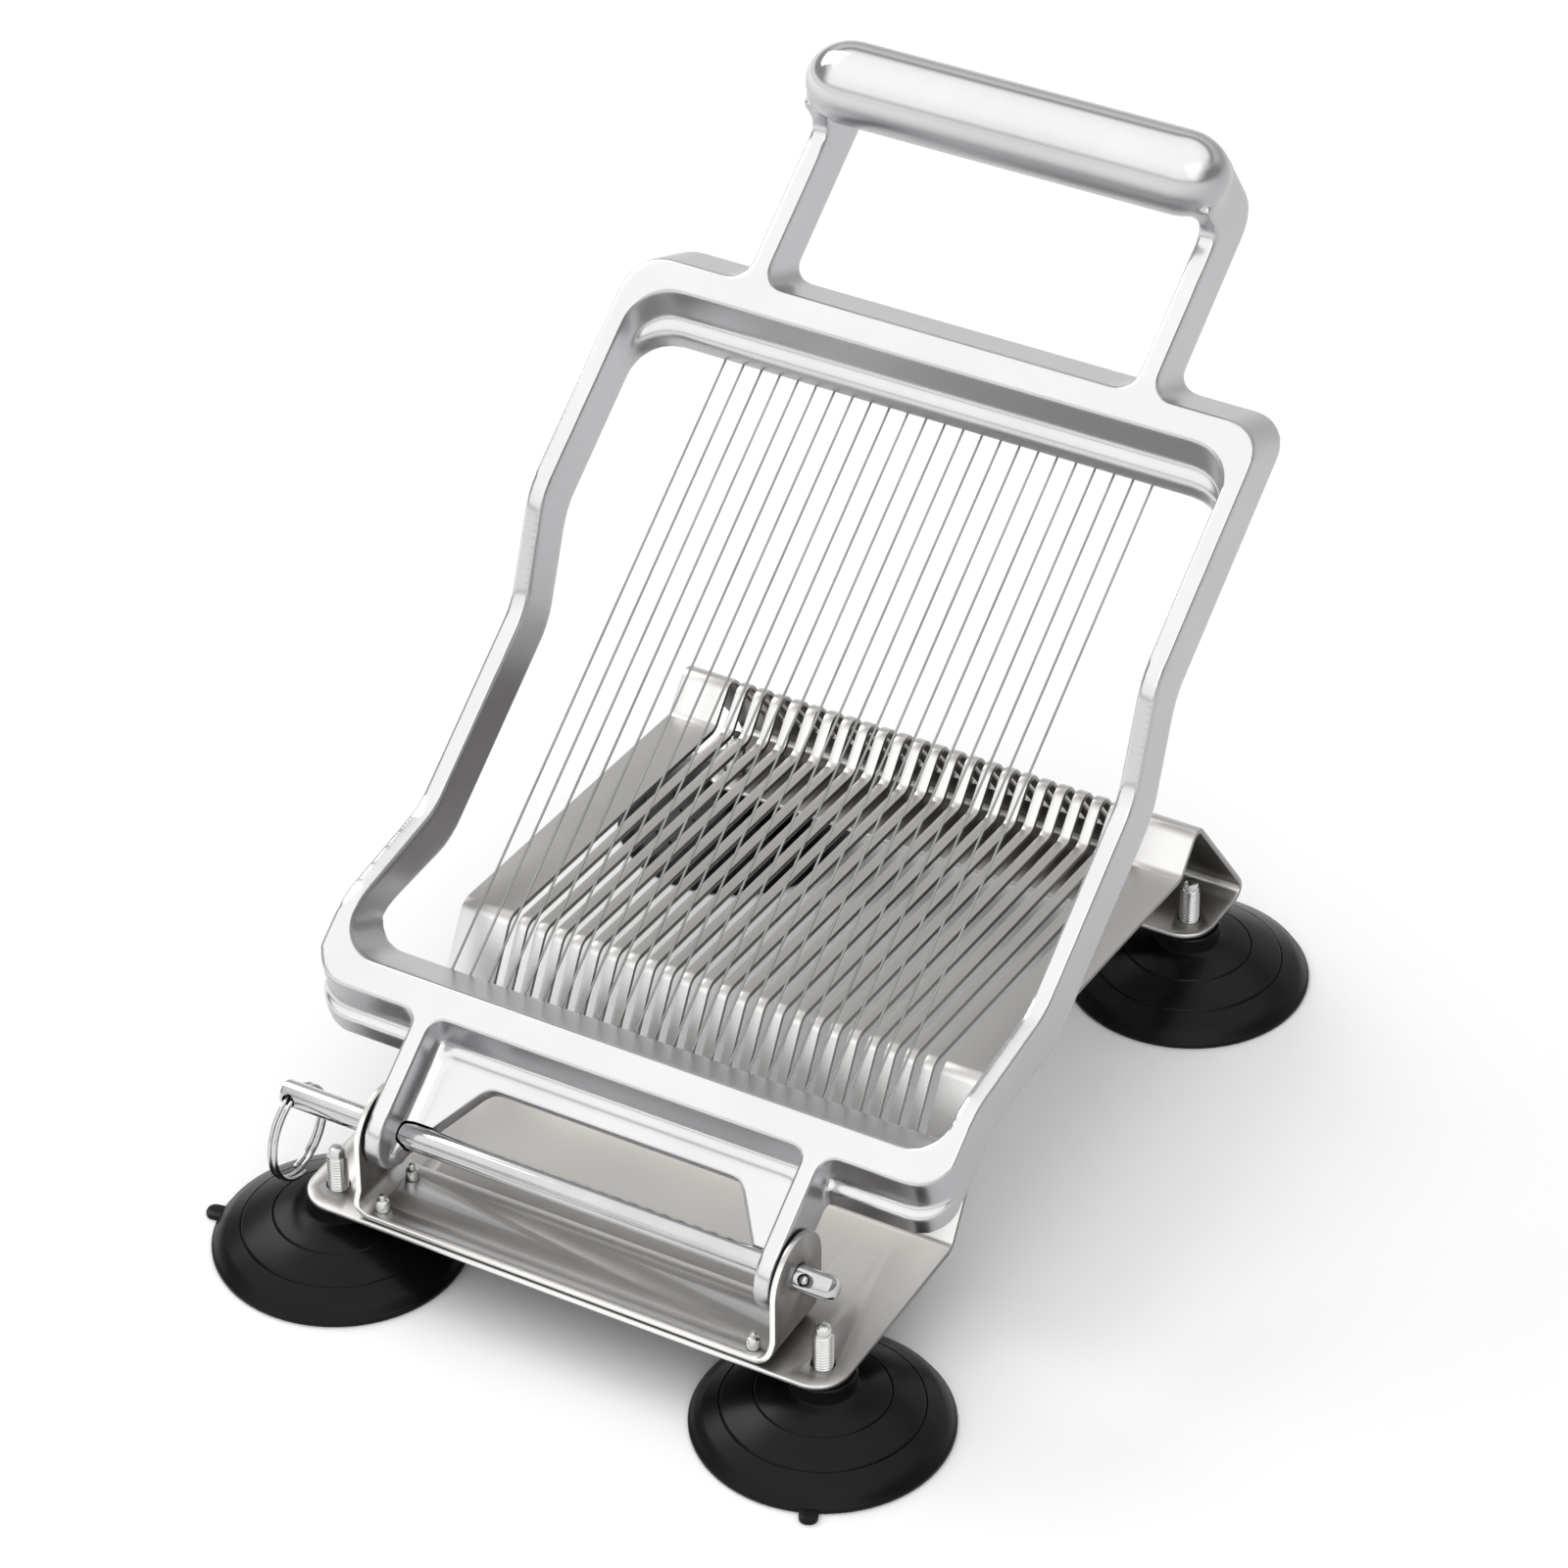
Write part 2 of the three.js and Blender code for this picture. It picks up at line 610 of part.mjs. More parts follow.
function suctionCup(bearing) {
  const crown = (r) => {
    const share = (CUP_RADIUS - r) / (CUP_RADIUS - CUP_NECK_RADIUS);
    const rise = CUP_NECK_FOOT - CUP_RIM - CUP_RIM_STEP;
    return CUP_RIM + CUP_RIM_STEP + rise * share + CUP_CROWN * Math.sin(Math.PI * share);
  };
  const [inner, outer] = CUP_GROOVE_RADII;
  const grooved = [outer, inner].flatMap((r) => [
    [r + CUP_GROOVE, crown(r + CUP_GROOVE)],
    [r, crown(r) - CUP_GROOVE],
    [r - CUP_GROOVE, crown(r - CUP_GROOVE)],
  ]);
  const bore = STUD_RADIUS + GAP;
  const boreFloor = CUP_HOLLOW + STUD_FLOOR;
  const body = turned([
    [0, CUP_HOLLOW],
    [CUP_RADIUS / 2, CUP_HOLLOW * 3 / 4],
    [CUP_RADIUS - CUP_SEAT_WIDTH, 0],
    [CUP_RADIUS - CUP_EDGE, 0],
    [CUP_RADIUS, CUP_EDGE],
    [CUP_RADIUS, CUP_RIM],
    [CUP_RADIUS - CUP_RIM_STEP, CUP_RIM + CUP_EDGE],
    ...grooved,
    [CUP_NECK_RADIUS + CUP_EDGE, crown(CUP_NECK_RADIUS + CUP_EDGE)],
    [CUP_NECK_RADIUS, CUP_NECK_FOOT + CUP_EDGE],
    [CUP_NECK_RADIUS, CUP_HEIGHT],
    [bore, CUP_HEIGHT],
    [bore, boreFloor],
    [0, boreFloor],
  ], CUP_SIDES);
  const tab = block(
    [CUP_RADIUS - CUP_SEAT_WIDTH, -CUP_TAB_WIDTH / 2, 0],
    [CUP_RADIUS + CUP_TAB_LENGTH, CUP_TAB_WIDTH / 2, CUP_RIM],
  );
  return body.add(tab).rotate([0, 0, bearing]);
}

function footStud() {
  const low = CUP_HOLLOW + STUD_FLOOR + GAP;
  const top = PLATE_TOP + STUD_ABOVE_SHEET;
  return turned([
    [0, low],
    [STUD_RADIUS, low],
    [STUD_RADIUS, top - STUD_CHAMFER],
    [STUD_RADIUS - STUD_CHAMFER, top],
    [STUD_POINT_RADIUS, top],
    [STUD_POINT_RADIUS, top + STUD_POINT_HEIGHT],
    [0, top + STUD_POINT_HEIGHT],
  ], SMALL_SIDES);
}

// Pocket, ball and spring lie on one radius of the pin
function onBallRadius(made) {
  return made.rotate([BALL_BEARING, 0, 0]).translate([BALL_X, 0, 0]);
}

function alongRadius(from, to, radius, sides) {
  const rod = rodZ(radius, from, to, sides);
  return onBallRadius(rod.rotate([-90, 0, 0]));
}

function hingePin() {
  const shaft = turnedX([
    [0, -PIN_LEFT],
    [PIN_RADIUS - PIN_CHAMFER, -PIN_LEFT],
    [PIN_RADIUS, PIN_CHAMFER - PIN_LEFT],
    [PIN_RADIUS, PIN_RIGHT - PIN_TIP_CHAMFER],
    [PIN_RADIUS - PIN_TIP_CHAMFER, PIN_RIGHT],
    [0, PIN_RIGHT],
  ], ROUND_SIDES);
  const reach = PIN_RADIUS + OVERRUN;
  const ringHole = rodZ(RING_HOLE_RADIUS, -reach, reach, SMALL_SIDES).rotate([90, 0, 0]);
  const pocketFloor = -BALL_SEAT + GAP;
  return without(shaft, [
    ringHole.translate([RING_X, 0, 0]),
    alongRadius(pocketFloor, reach, BALL_RADIUS + GAP, SMALL_SIDES),
  ]);
}

function pinRing() {
  const points = coil(RING_RADIUS, RING_PITCH, RING_TURNS, RING_STEPS, -Math.PI / 2);
  const gap = coilGap(points, RING_STEPS, RING_WIRE);
  console.log(`pin_ring least gap between turns ${gap.toFixed(3)} mm`);
  return tube(points, RING_WIRE / 2, RING_SIDES);
}

function detentBall() {
  const ball = solid(new THREE.SphereGeometry(BALL_RADIUS, SMALL_SIDES, SMALL_SIDES / 2));
  return onBallRadius(ball.translate([0, BALL_SEAT, 0]));
}

function detentSpring() {
  const points = coil(SPRING_RADIUS, SPRING_PITCH, SPRING_CURLS, SPRING_STEPS, 0);
  const gap = coilGap(points, SPRING_STEPS, SPRING_WIRE);
  console.log(`detent_spring least gap between turns ${gap.toFixed(3)} mm`);
  const half = SPRING_PITCH * SPRING_CURLS / 2 + SPRING_WIRE / 2;
  const highest = BALL_SEAT - BALL_RADIUS - BALL_TRAVEL;
  const made = tube(points, SPRING_WIRE / 2, SPRING_SIDES).rotate([0, 0, 90]);
  return onBallRadius(made.translate([0, highest - half, 0]));
}

// Plan outline of the frame's block at one height, ring by ring
function planCorners(halfWidth, front, rear, frontCorner, rearCorner) {
  return rounded([
    [-halfWidth, front, frontCorner],
    [halfWidth, front, frontCorner],
    [halfWidth, rear, rearCorner],
    [-halfWidth, rear, rearCorner],
  ]);
}

function bodyAt(height) {
  const front = FRAME_FRONT - FRONT_DRAFT_SHARE * (FRAME_TOP - height);
  const rear = FRAME_REAR + REAR_DRAFT_SHARE * (FRAME_TOP - height);
  return planCorners(FRAME_HALF_WIDTH, front, rear, FRAME_CORNER, FRAME_CORNER);
}

function ledgeAt(height) {
  const top = FRAME_FRONT - FRONT_DRAFT_SHARE * (FRAME_TOP - LEDGE_HEIGHT) - LEDGE_WIDTH;
  const front = top - FRONT_DRAFT_SHARE * (LEDGE_HEIGHT - height);
  return planCorners(FRAME_HALF_WIDTH, front, CRANK_FRONT_START, FRAME_CORNER, 0);
}

function windowAt(height, step) {
  const front = WINDOW_FRONT + WINDOW_FRONT_DRAFT_SHARE * (FRAME_TOP - height);
  const rear = WINDOW_REAR - WINDOW_REAR_DRAFT_SHARE * (FRAME_TOP - height) - step;
  const half = FRAME_HALF_WIDTH - RAIL_WIDTH;
  return planCorners(half, front, rear, WINDOW_FRONT_CORNER, WINDOW_REAR_CORNER);
}

function lofted(outlineAt, low, high, ...rest) {
  return tapered(outlineAt(low, ...rest), outlineAt(high, ...rest), low, high);
}

// Cross bars with the ends of the rails, standing apart until the rails join them
function crossBars() {
  const bars = lofted(bodyAt, FRAME_BOTTOM, FRAME_TOP);
  const ledge = lofted(ledgeAt, FRAME_BOTTOM, LEDGE_HEIGHT);
  return without(bars.add(ledge), [
    lofted(windowAt, WINDOW_STEP_HEIGHT, FRAME_TOP + OVERRUN, 0),
    lofted(windowAt, FRAME_BOTTOM - OVERRUN, WINDOW_STEP_HEIGHT, WINDOW_STEP_WIDTH),
    block(
      [-FRAME_HALF_WIDTH - OVERRUN, CRANK_FRONT_START, FRAME_BOTTOM - OVERRUN],
      [FRAME_HALF_WIDTH + OVERRUN, CRANK_REAR_END, FRAME_TOP + OVERRUN],
    ),
  ]);
}

function rail(side) {
  const front = CRANK_FRONT_START - CRANK_RADIUS;
  const rear = CRANK_REAR_END + CRANK_RADIUS;
  const shift = CRANK_RADIUS / 2;
  const profile = rounded([
    [front, FRAME_TOP],
    [front, FRAME_BOTTOM],
    [CRANK_FRONT_START + shift, FRAME_BOTTOM, CRANK_RADIUS],
    [CRANK_FRONT_END, FRAME_BOTTOM - RAIL_DROP, CRANK_RADIUS],
    [CRANK_REAR_START + shift, FRAME_BOTTOM - RAIL_DROP, CRANK_RADIUS],
    [CRANK_REAR_END + shift, FRAME_BOTTOM, CRANK_RADIUS],
    [rear, FRAME_BOTTOM],
    [rear, FRAME_TOP],
    [CRANK_REAR_END, FRAME_TOP, CRANK_RADIUS],
    [CRANK_REAR_START, FRAME_TOP - RAIL_DROP, CRANK_RADIUS],
    [CRANK_FRONT_END + shift, FRAME_TOP - RAIL_DROP, CRANK_RADIUS],
    [CRANK_FRONT_START, FRAME_TOP, CRANK_RADIUS],
  ]);
  const inner = side * (FRAME_HALF_WIDTH - RAIL_WIDTH);
  const outer = side * FRAME_HALF_WIDTH;
  return acrossX(profile, Math.min(inner, outer), Math.max(inner, outer));
}

function pivotArm(side) {
  const centre = FRAME_TOP - EYE_RADIUS;
  const profile = new THREE.Shape();
  profile.moveTo(WINDOW_FRONT, FRAME_BOTTOM);
  profile.lineTo(WINDOW_FRONT, FRAME_TOP);
  profile.lineTo(0, FRAME_TOP);
  const underside = 2 * Math.PI + Math.asin((FRAME_BOTTOM - centre) / EYE_RADIUS);
  profile.absarc(0, centre, EYE_RADIUS, Math.PI / 2, underside);
  const inner = side * (ARM_HALF_WIDTH - ARM_THICKNESS);
  const outer = side * ARM_HALF_WIDTH;
  const points = profile.extractPoints(ROUND_SIDES / 2).shape;
  return acrossX(points, Math.min(inner, outer), Math.max(inner, outer));
}

function pivotWeb() {
  const half = ARM_HALF_WIDTH - ARM_THICKNESS / 2;
  const toe = ARM_HALF_WIDTH - ARM_THICKNESS;
  const outline = rounded([
    [-half, WINDOW_FRONT],
    [-half, -WEB_TOE],
    [-toe, -WEB_TOE],
    [-WEB_NOTCH_HALF_WIDTH, WEB_FRONT, WEB_CORNER],
    [WEB_NOTCH_HALF_WIDTH, WEB_FRONT, WEB_CORNER],
    [toe, -WEB_TOE],
    [half, -WEB_TOE],
    [half, WINDOW_FRONT],
  ]);
  return upright(outline, FRAME_BOTTOM, WEB_HEIGHT);
}

function handleArm(side) {
  const profile = rounded([
    [WINDOW_REAR, FRAME_BOTTOM],
    [PILLAR_REAR, FRAME_BOTTOM, PILLAR_HEEL],
    [PILLAR_REAR, GRIP_HEIGHT],
    [PILLAR_FRONT, GRIP_HEIGHT],
    [PILLAR_FRONT, FRAME_TOP, PILLAR_FILLET],
    [WINDOW_REAR, FRAME_TOP],
  ]);
  const inner = side * (HANDLE_ARM_HALF_WIDTH - HANDLE_ARM_THICKNESS);
  const outer = side * HANDLE_ARM_HALF_WIDTH;
  return acrossX(profile, Math.min(inner, outer), Math.max(inner, outer));
}

function grip() {
  const dome = (side) => Array.from({ length: DOME_STEPS + 1 }, (_, i) => {
    const angle = Math.PI / 2 * i / DOME_STEPS;
    const radius = i === 0 ? 0 : GRIP_RADIUS * Math.sin(angle);
    return [radius, side * (GRIP_HALF_LENGTH - GRIP_DOME * (1 - Math.cos(angle)))];
  });
  const bar = turnedX([...dome(-1), ...dome(1).reverse()], GRIP_SIDES);
  return bar.translate([0, GRIP_REACH, GRIP_HEIGHT]);
}

function cuttingFrame() {
  const casting = joined([
    crossBars(),
    rail(-1),
    rail(1),
    pivotArm(-1),
    pivotArm(1),
    pivotWeb(),
    handleArm(-1),
    handleArm(1),
    grip(),
  ]);
  const tapped = CLAMP_PLACES.map((x) => rodZ(
    SCREW_RADIUS + GAP,
    FRAME_BOTTOM - OVERRUN,
    FRAME_BOTTOM + SCREW_GRIP + GAP,
    SMALL_SIDES,
    x,
    CLAMP_REACH,
  ));
  const clear = BARREL_LENGTH / 2 + GAP;
  const aside = BARREL_RADIUS + GAP;
  const pockets = WIRE_PLACES.map((x) => block(
    [x - aside, BARREL_REACH - clear, FRAME_BOTTOM - OVERRUN],
    [x + aside, BARREL_REACH + clear, WIRE_HEIGHT + aside],
  ));
  const bore = rodX(HOLE_RADIUS, -FRAME_HALF_WIDTH, FRAME_HALF_WIDTH, ROUND_SIDES);
  return without(casting, [bore, ...tapped, ...pockets]);
}

// Straight wire from its clamped tail to the barrel that hooks into a pocket of the casting
function cuttingWire(x) {
  const tail = CLAMP_REACH - WIRE_TAIL;
  const barrel = BARREL_REACH - BARREL_LENGTH / 2;
  const end = BARREL_REACH + BARREL_LENGTH / 2;
  const wire = turned([
    [0, tail],
    [WIRE_RADIUS, tail],
    [WIRE_RADIUS, barrel],
    [BARREL_RADIUS, barrel],
    [BARREL_RADIUS, end],
    [0, end],
  ], WIRE_SIDES);
  return wire.rotate([-90, 0, 0]).translate([x, 0, WIRE_HEIGHT]);
}

function clampScrew(x) {
  const seat = WIRE_HEIGHT - WIRE_RADIUS - GAP;
  const shank = rodZ(SCREW_RADIUS, seat - SCREW_FLANGE, FRAME_BOTTOM + SCREW_GRIP, SMALL_SIDES);
  const flange = rodZ(SCREW_FLANGE_RADIUS, seat - SCREW_FLANGE, seat, ROUND_SIDES);
  const hex = rodZ(SCREW_HEX_RADIUS, seat - SCREW_FLANGE - SCREW_HEX, seat - SCREW_FLANGE / 2, 6);
  return joined([shank, flange, hex]).translate([x, CLAMP_REACH, 0]);
}

function baseGroup() {
  const base = new THREE.Group();
  base.add(piece('base_plate', basePlate(), STEEL_SHEET));
  base.add(piece('hinge_bracket', hingeBracket(), STEEL_SHEET));
  RIVET_PLACES.forEach(([x, y], i) => {
    const mesh = piece(numbered('bracket_rivet', i), rivet(), PLATED_STEEL);
    mesh.position.set(x, y, 0);
    base.add(mesh);
  });
  FEET.forEach(([name, x, y], i) => {
    const cup = piece(`suction_cup_${name}`, suctionCup(CUP_TAB_BEARINGS[i]), BLACK_RUBBER);
    const stud = piece(`foot_stud_${name}`, footStud(), PLATED_STEEL);
    cup.position.set(x, y, 0);
    stud.position.set(x, y, 0);
    base.add(cup, stud);
  });
  return base;
}

function pinGroup() {
  const pin = new THREE.Group();
  pin.position.set(0, PIVOT_Y, PIVOT_Z);
  pin.add(piece('hinge_pin', hingePin(), POLISHED_STEEL));
  pin.add(piece('detent_ball', detentBall(), POLISHED_STEEL));
  pin.add(piece('detent_spring', detentSpring(), WIRE_STEEL));
  const ring = piece('pin_ring', pinRing(), POLISHED_STEEL);
  const sag = RING_RADIUS - Math.sqrt(RING_RADIUS * RING_RADIUS - PIN_RADIUS * PIN_RADIUS);
  ring.position.set(RING_X, 0, sag / 2 - RING_RADIUS);
  pin.add(ring);
  return pin;
}

function frameGroup() {
  const frame = new THREE.Group();
  frame.position.set(0, PIVOT_Y, PIVOT_Z);
  frame.rotation.x = THREE.MathUtils.degToRad(FRAME_REST_DEGREES);
  frame.add(piece('cutting_frame', cuttingFrame(), POLISHED_ALUMINIUM));
  WIRE_PLACES.forEach((x, i) => {
    frame.add(piece(numbered('cutting_wire', i), cuttingWire(x), WIRE_STEEL));
  });
  CLAMP_PLACES.forEach((x, i) => {
    frame.add(piece(numbered('wire_clamp', i), clampScrew(x), PLATED_STEEL));
  });
  return frame;
}

// The whole stands on its origin, which is the middle of the floor that its outline covers
const group = new THREE.Group();
group.add(baseGroup(), pinGroup(), frameGroup());
group.updateMatrixWorld(true);
const reach = new THREE.Box3().setFromObject(group, true);
const middle = reach.getCenter(new THREE.Vector3());
group.position.set(-middle.x, -middle.y, -reach.min.z);
console.log('shift to the origin', group.position.toArray());
console.log('pivot', [-middle.x, PIVOT_Y - middle.y, PIVOT_Z - reach.min.z]);

export default group;
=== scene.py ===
"""Cheese slicer board: a slotted steel base on suction feet and a wired cutting frame on a pull-out pin."""

import logging
import math
from dataclasses import dataclass
from enum import Enum
from typing import Callable, Sequence

import bmesh
import bpy
from mathutils import Matrix, Vector

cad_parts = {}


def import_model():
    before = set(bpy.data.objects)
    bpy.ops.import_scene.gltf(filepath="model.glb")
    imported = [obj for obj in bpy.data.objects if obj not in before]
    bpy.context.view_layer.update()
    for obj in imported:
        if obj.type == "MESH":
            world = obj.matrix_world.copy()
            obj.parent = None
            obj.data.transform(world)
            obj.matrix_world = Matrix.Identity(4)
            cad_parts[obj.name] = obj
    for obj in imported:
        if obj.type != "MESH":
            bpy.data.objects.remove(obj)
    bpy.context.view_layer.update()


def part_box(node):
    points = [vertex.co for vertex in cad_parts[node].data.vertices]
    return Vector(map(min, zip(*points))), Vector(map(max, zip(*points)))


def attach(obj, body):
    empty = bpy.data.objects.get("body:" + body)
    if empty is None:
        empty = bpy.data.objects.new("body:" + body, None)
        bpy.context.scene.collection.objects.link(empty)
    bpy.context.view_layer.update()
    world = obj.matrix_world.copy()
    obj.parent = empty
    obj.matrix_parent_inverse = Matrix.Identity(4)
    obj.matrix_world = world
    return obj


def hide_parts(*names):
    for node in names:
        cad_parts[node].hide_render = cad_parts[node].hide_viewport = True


# Lengths are in millimetres, unless a docstring says metres.
MM = 0.001
MERGE = 1e-6
NEAR = 1e-3
WIRES = 24
WIRE_PITCH = 5.0
CLAMPS = 12
LOG = logging.getLogger("slicer_board")

Thing = bpy.types.Object
Test = Callable[[Vector], bool]
Triple = tuple[float, float, float]
Pairs = tuple[tuple[float, float], ...]


class Plane(Enum):
    """The two axes that an outline is drawn in. It is carried along the third."""

    YZ = "YZ"
    XZ = "XZ"
    XY = "XY"

    def place(self, along: float, up: float, depth: float) -> Vector:
        """A point of the outline at a depth, all in millimetres, as a place in metres."""
        spots = {"YZ": (depth, along, up), "XZ": (along, depth, up), "XY": (along, up, depth)}
        return Vector(spots[self.value]) * MM


class Pick(Enum):
    """What a selection in edit mode is made of."""

    POINTS = "VERT"
    EDGES = "EDGE"
    FACES = "FACE"


@dataclass(frozen=True)
class Corner:
    """One corner of an outline in millimetres, with the radius that rounds it."""

    along: float
    up: float
    radius: float = 0.0

    def cut(self, before: "Corner", after: "Corner") -> float:
        """How far from the corner its rounding starts.

        Args:
            before: The corner that the outline comes from.
            after: The corner that it goes to.

        Returns:
            The length along each side, in millimetres.
        """
        back = Vector((before.along - self.along, before.up - self.up)).normalized()
        ahead = Vector((after.along - self.along, after.up - self.up)).normalized()
        return self.radius / math.tan(back.angle(ahead) / 2)


def same(first: float, second: float) -> bool:
    """Whether two measures in millimetres are the same."""
    return abs(first - second) < NEAR


def spread(count: int, pitch: float) -> list[float]:
    """The places of a row that is even about the middle."""
    return [pitch * (index - (count - 1) / 2) for index in range(count)]


def even(half: Sequence[Corner]) -> list[Corner]:
    """Completes an outline from its left half, so that both sides are alike."""
    return [*half, *(Corner(-corner.along, corner.up, corner.radius) for corner in reversed(half))]


def rectangle(left: float, right: float, low: float, high: float) -> list[Corner]:
    """The corners of a rectangle."""
    return [Corner(left, low), Corner(right, low), Corner(right, high), Corner(left, high)]


def moved(x: float, y: float, z: float) -> Matrix:
    """A move in millimetres."""
    return Matrix.Translation(Vector((x, y, z)) * MM)


def release() -> None:
    """Leaves edit mode and lets go of everything."""
    if bpy.context.object is not None and bpy.context.object.mode != "OBJECT":
        bpy.ops.object.mode_set(mode="OBJECT")
    bpy.ops.object.select_all(action="DESELECT")


def hold(obj: Thing) -> None:
    """Selects one object and makes it active.

    Args:
        obj: The object.
    """
    release()
    obj.select_set(True)
    bpy.context.view_layer.objects.active = obj


def named(obj: Thing, name: str) -> Thing:
    """Names an object and its mesh.

    Args:
        obj: The object.
        name: The name of both.

    Returns:
        The same object.
    """
    obj.name = name
    obj.data.name = name
    return obj


def started(name: str) -> Thing:
    """Names the primitive just added, settles its place in its mesh and opens it for editing.

    Args:
        name: The name of the object.

    Returns:
        The object, in edit mode with all of it selected.
    """
    obj = named(bpy.context.object, name)
    bpy.ops.object.transform_apply(location=True, rotation=True, scale=True)
    bpy.ops.object.mode_set(mode="EDIT")
    bpy.ops.mesh.select_mode(type="VERT")
    bpy.ops.mesh.select_all(action="SELECT")
    return obj


def choose(obj: Thing, kind: Pick, test: Test) -> None:
    """Selects in edit mode what has its middle where a test says.

    Args:
        obj: The object in edit mode.
        kind: Points, edges or faces.
        test: Takes a middle in millimetres.
    """
    bpy.ops.mesh.select_mode(type=kind.value)
    bpy.ops.mesh.select_all(action="DESELECT")
    mesh = bmesh.from_edit_mesh(obj.data)
    if kind is Pick.POINTS:
        middles = [(point, point.co) for point in mesh.verts]
    elif kind is Pick.EDGES:
        middles = [(edge, (edge.verts[0].co + edge.verts[1].co) / 2) for edge in mesh.edges]
    else:
        middles = [(face, face.calc_center_median()) for face in mesh.faces]
    for element, middle in middles:
        if test(middle / MM):
            element.select_set(True)
    bmesh.update_edit_mesh(obj.data)


def push(step: Vector) -> None:
    """Moves what is selected in edit mode by a step in metres."""
    bpy.ops.transform.translate(value=step)


def draw_out(step: Vector) -> None:
    """Extrudes what is selected in edit mode by a step in metres."""
    bpy.ops.mesh.extrude_region_move(TRANSFORM_OT_translate={"value": step})


def rounded(affect: str, offset: float, steps: int) -> None:
    """Rounds the selected points or edges in edit mode.

    Args:
        affect: "VERTICES" or "EDGES".
        offset: How far from them the rounding starts, in millimetres.
        steps: How many sides it has.
    """
    bpy.ops.mesh.bevel(affect=affect, offset=offset * MM, segments=steps, profile=0.5, clamp_overlap=False)


def face_out(obj: Thing) -> None:
    """Merges doubles, turns all faces outwards and leaves edit mode.

    Args:
        obj: The closed solid.
    """
    if obj.mode != "EDIT":
        hold(obj)
        bpy.ops.object.mode_set(mode="EDIT")
    bpy.ops.mesh.select_all(action="SELECT")
    bpy.ops.mesh.remove_doubles(threshold=MERGE)
    bpy.ops.mesh.normals_make_consistent(inside=False)
    bpy.ops.object.mode_set(mode="OBJECT")


def face_up(obj: Thing, rank: Callable[[Vector], float]) -> None:
    """Turns an open sheet's faces to one side, up at the face that ranks lowest, and leaves edit mode.

    Args:
        obj: The sheet, in edit mode.
        rank: Takes the middle of a face, in metres.
    """
    bpy.ops.mesh.select_all(action="SELECT")
    bpy.ops.mesh.normals_make_consistent(inside=False)
    mesh = bmesh.from_edit_mesh(obj.data)
    if min(mesh.faces, key=lambda face: rank(face.calc_center_median())).normal.z < 0:
        bpy.ops.mesh.flip_normals()
    bpy.ops.object.mode_set(mode="OBJECT")


def chain(name: str, places: Sequence[Vector]) -> Thing:
    """Draws an open line, point by point, from a merged primitive.

    Args:
        name: The name of the object.
        places: The points of the line, in metres.

    Returns:
        The object, in edit mode with all of it selected.
    """
    release()
    bpy.ops.mesh.primitive_plane_add(size=MM, location=places[0])
    obj = started(name)
    bpy.ops.mesh.merge(type="CENTER")
    for last, here in zip(places, places[1:]):
        bpy.ops.mesh.extrude_vertices_move(TRANSFORM_OT_translate={"value": here - last})
    bpy.ops.mesh.select_all(action="SELECT")
    return obj


def outline(name: str, plane: Plane, corners: Sequence[Corner], depth: float, steps: int = 6) -> Thing:
    """Draws a closed outline, fills it and rounds its corners.

    Args:
        name: The name of the object.
        plane: The plane of the outline.
        corners: Its corners in order.
        depth: Where it lies on the third axis, in millimetres.
        steps: How many sides each rounding has.

    Returns:
        The object, in edit mode, with its face selected.
    """
    places = [plane.place(corner.along, corner.up, depth) for corner in corners]
    obj = chain(name, places)
    bpy.ops.mesh.edge_face_add()
    for index, corner in enumerate(corners):
        if corner.radius > 0:
            spot = places[index] / MM
            choose(obj, Pick.POINTS, lambda co: (co - spot).length < NEAR)
            rounded("VERTICES", corner.cut(corners[index - 1], corners[(index + 1) % len(corners)]), steps)
    bpy.ops.mesh.select_mode(type="FACE")
    bpy.ops.mesh.select_all(action="SELECT")
    return obj


def prism(
    name: str, plane: Plane, corners: Sequence[Corner], low: float, high: float, steps: int = 6,
) -> Thing:
    """Carries an outline along its third axis.

    Args:
        name: The name of the object.
        plane: The plane of the outline.
        corners: Its corners in order.
        low: Where it starts, in millimetres.
        high: Where it ends.
        steps: How many sides each rounding has.

    Returns:
        The closed solid, in object mode.
    """
    obj = outline(name, plane, corners, low, steps)
    draw_out(plane.place(0, 0, high - low))
    face_out(obj)
    return obj


def leaning(
    name: str, corners: Sequence[Corner], shift: Callable[[Vector], float], floor: float, roof: float,
) -> Thing:
    """Carries a plan outline up and leans its walls by moving the points of its top along Y.

    Args:
        name: The name of the object.
        corners: The corners of the plan at the bottom.
        shift: Takes a top point in millimetres and gives how far it moves.
        floor: The height of the bottom, in millimetres.
        roof: The height of the top.

    Returns:
        The closed solid, in object mode.
    """
    obj = outline(name, Plane.XY, corners, floor)
    draw_out(Plane.XY.place(0, 0, roof - floor))
    middle = (floor + roof) / 2
    tops = [point.co / MM for point in bmesh.from_edit_mesh(obj.data).verts if point.co.z / MM > middle]
    for step in dict.fromkeys(round(shift(top), 6) for top in tops):
        choose(obj, Pick.POINTS, lambda co: co.z > middle and abs(shift(co) - step) < 1e-4)
        push(Vector((0, step, 0)) * MM)
    face_out(obj)
    return obj


def spun(name: str, profile: Sequence[tuple[float, float]], steps: int) -> Thing:
    """Spins a profile about the upright axis through the origin.

    Args:
        name: The name of the object.
        profile: Its points as radius and height, in millimetres.
        steps: How many sides the round has.

    Returns:
        The closed solid, in object mode.
    """
    obj = chain(name, [Vector((radius, 0, height)) * MM for radius, height in profile])
    bpy.ops.mesh.spin(steps=steps, angle=math.tau, center=(0, 0, 0), axis=(0, 0, 1))
    face_out(obj)
    return obj


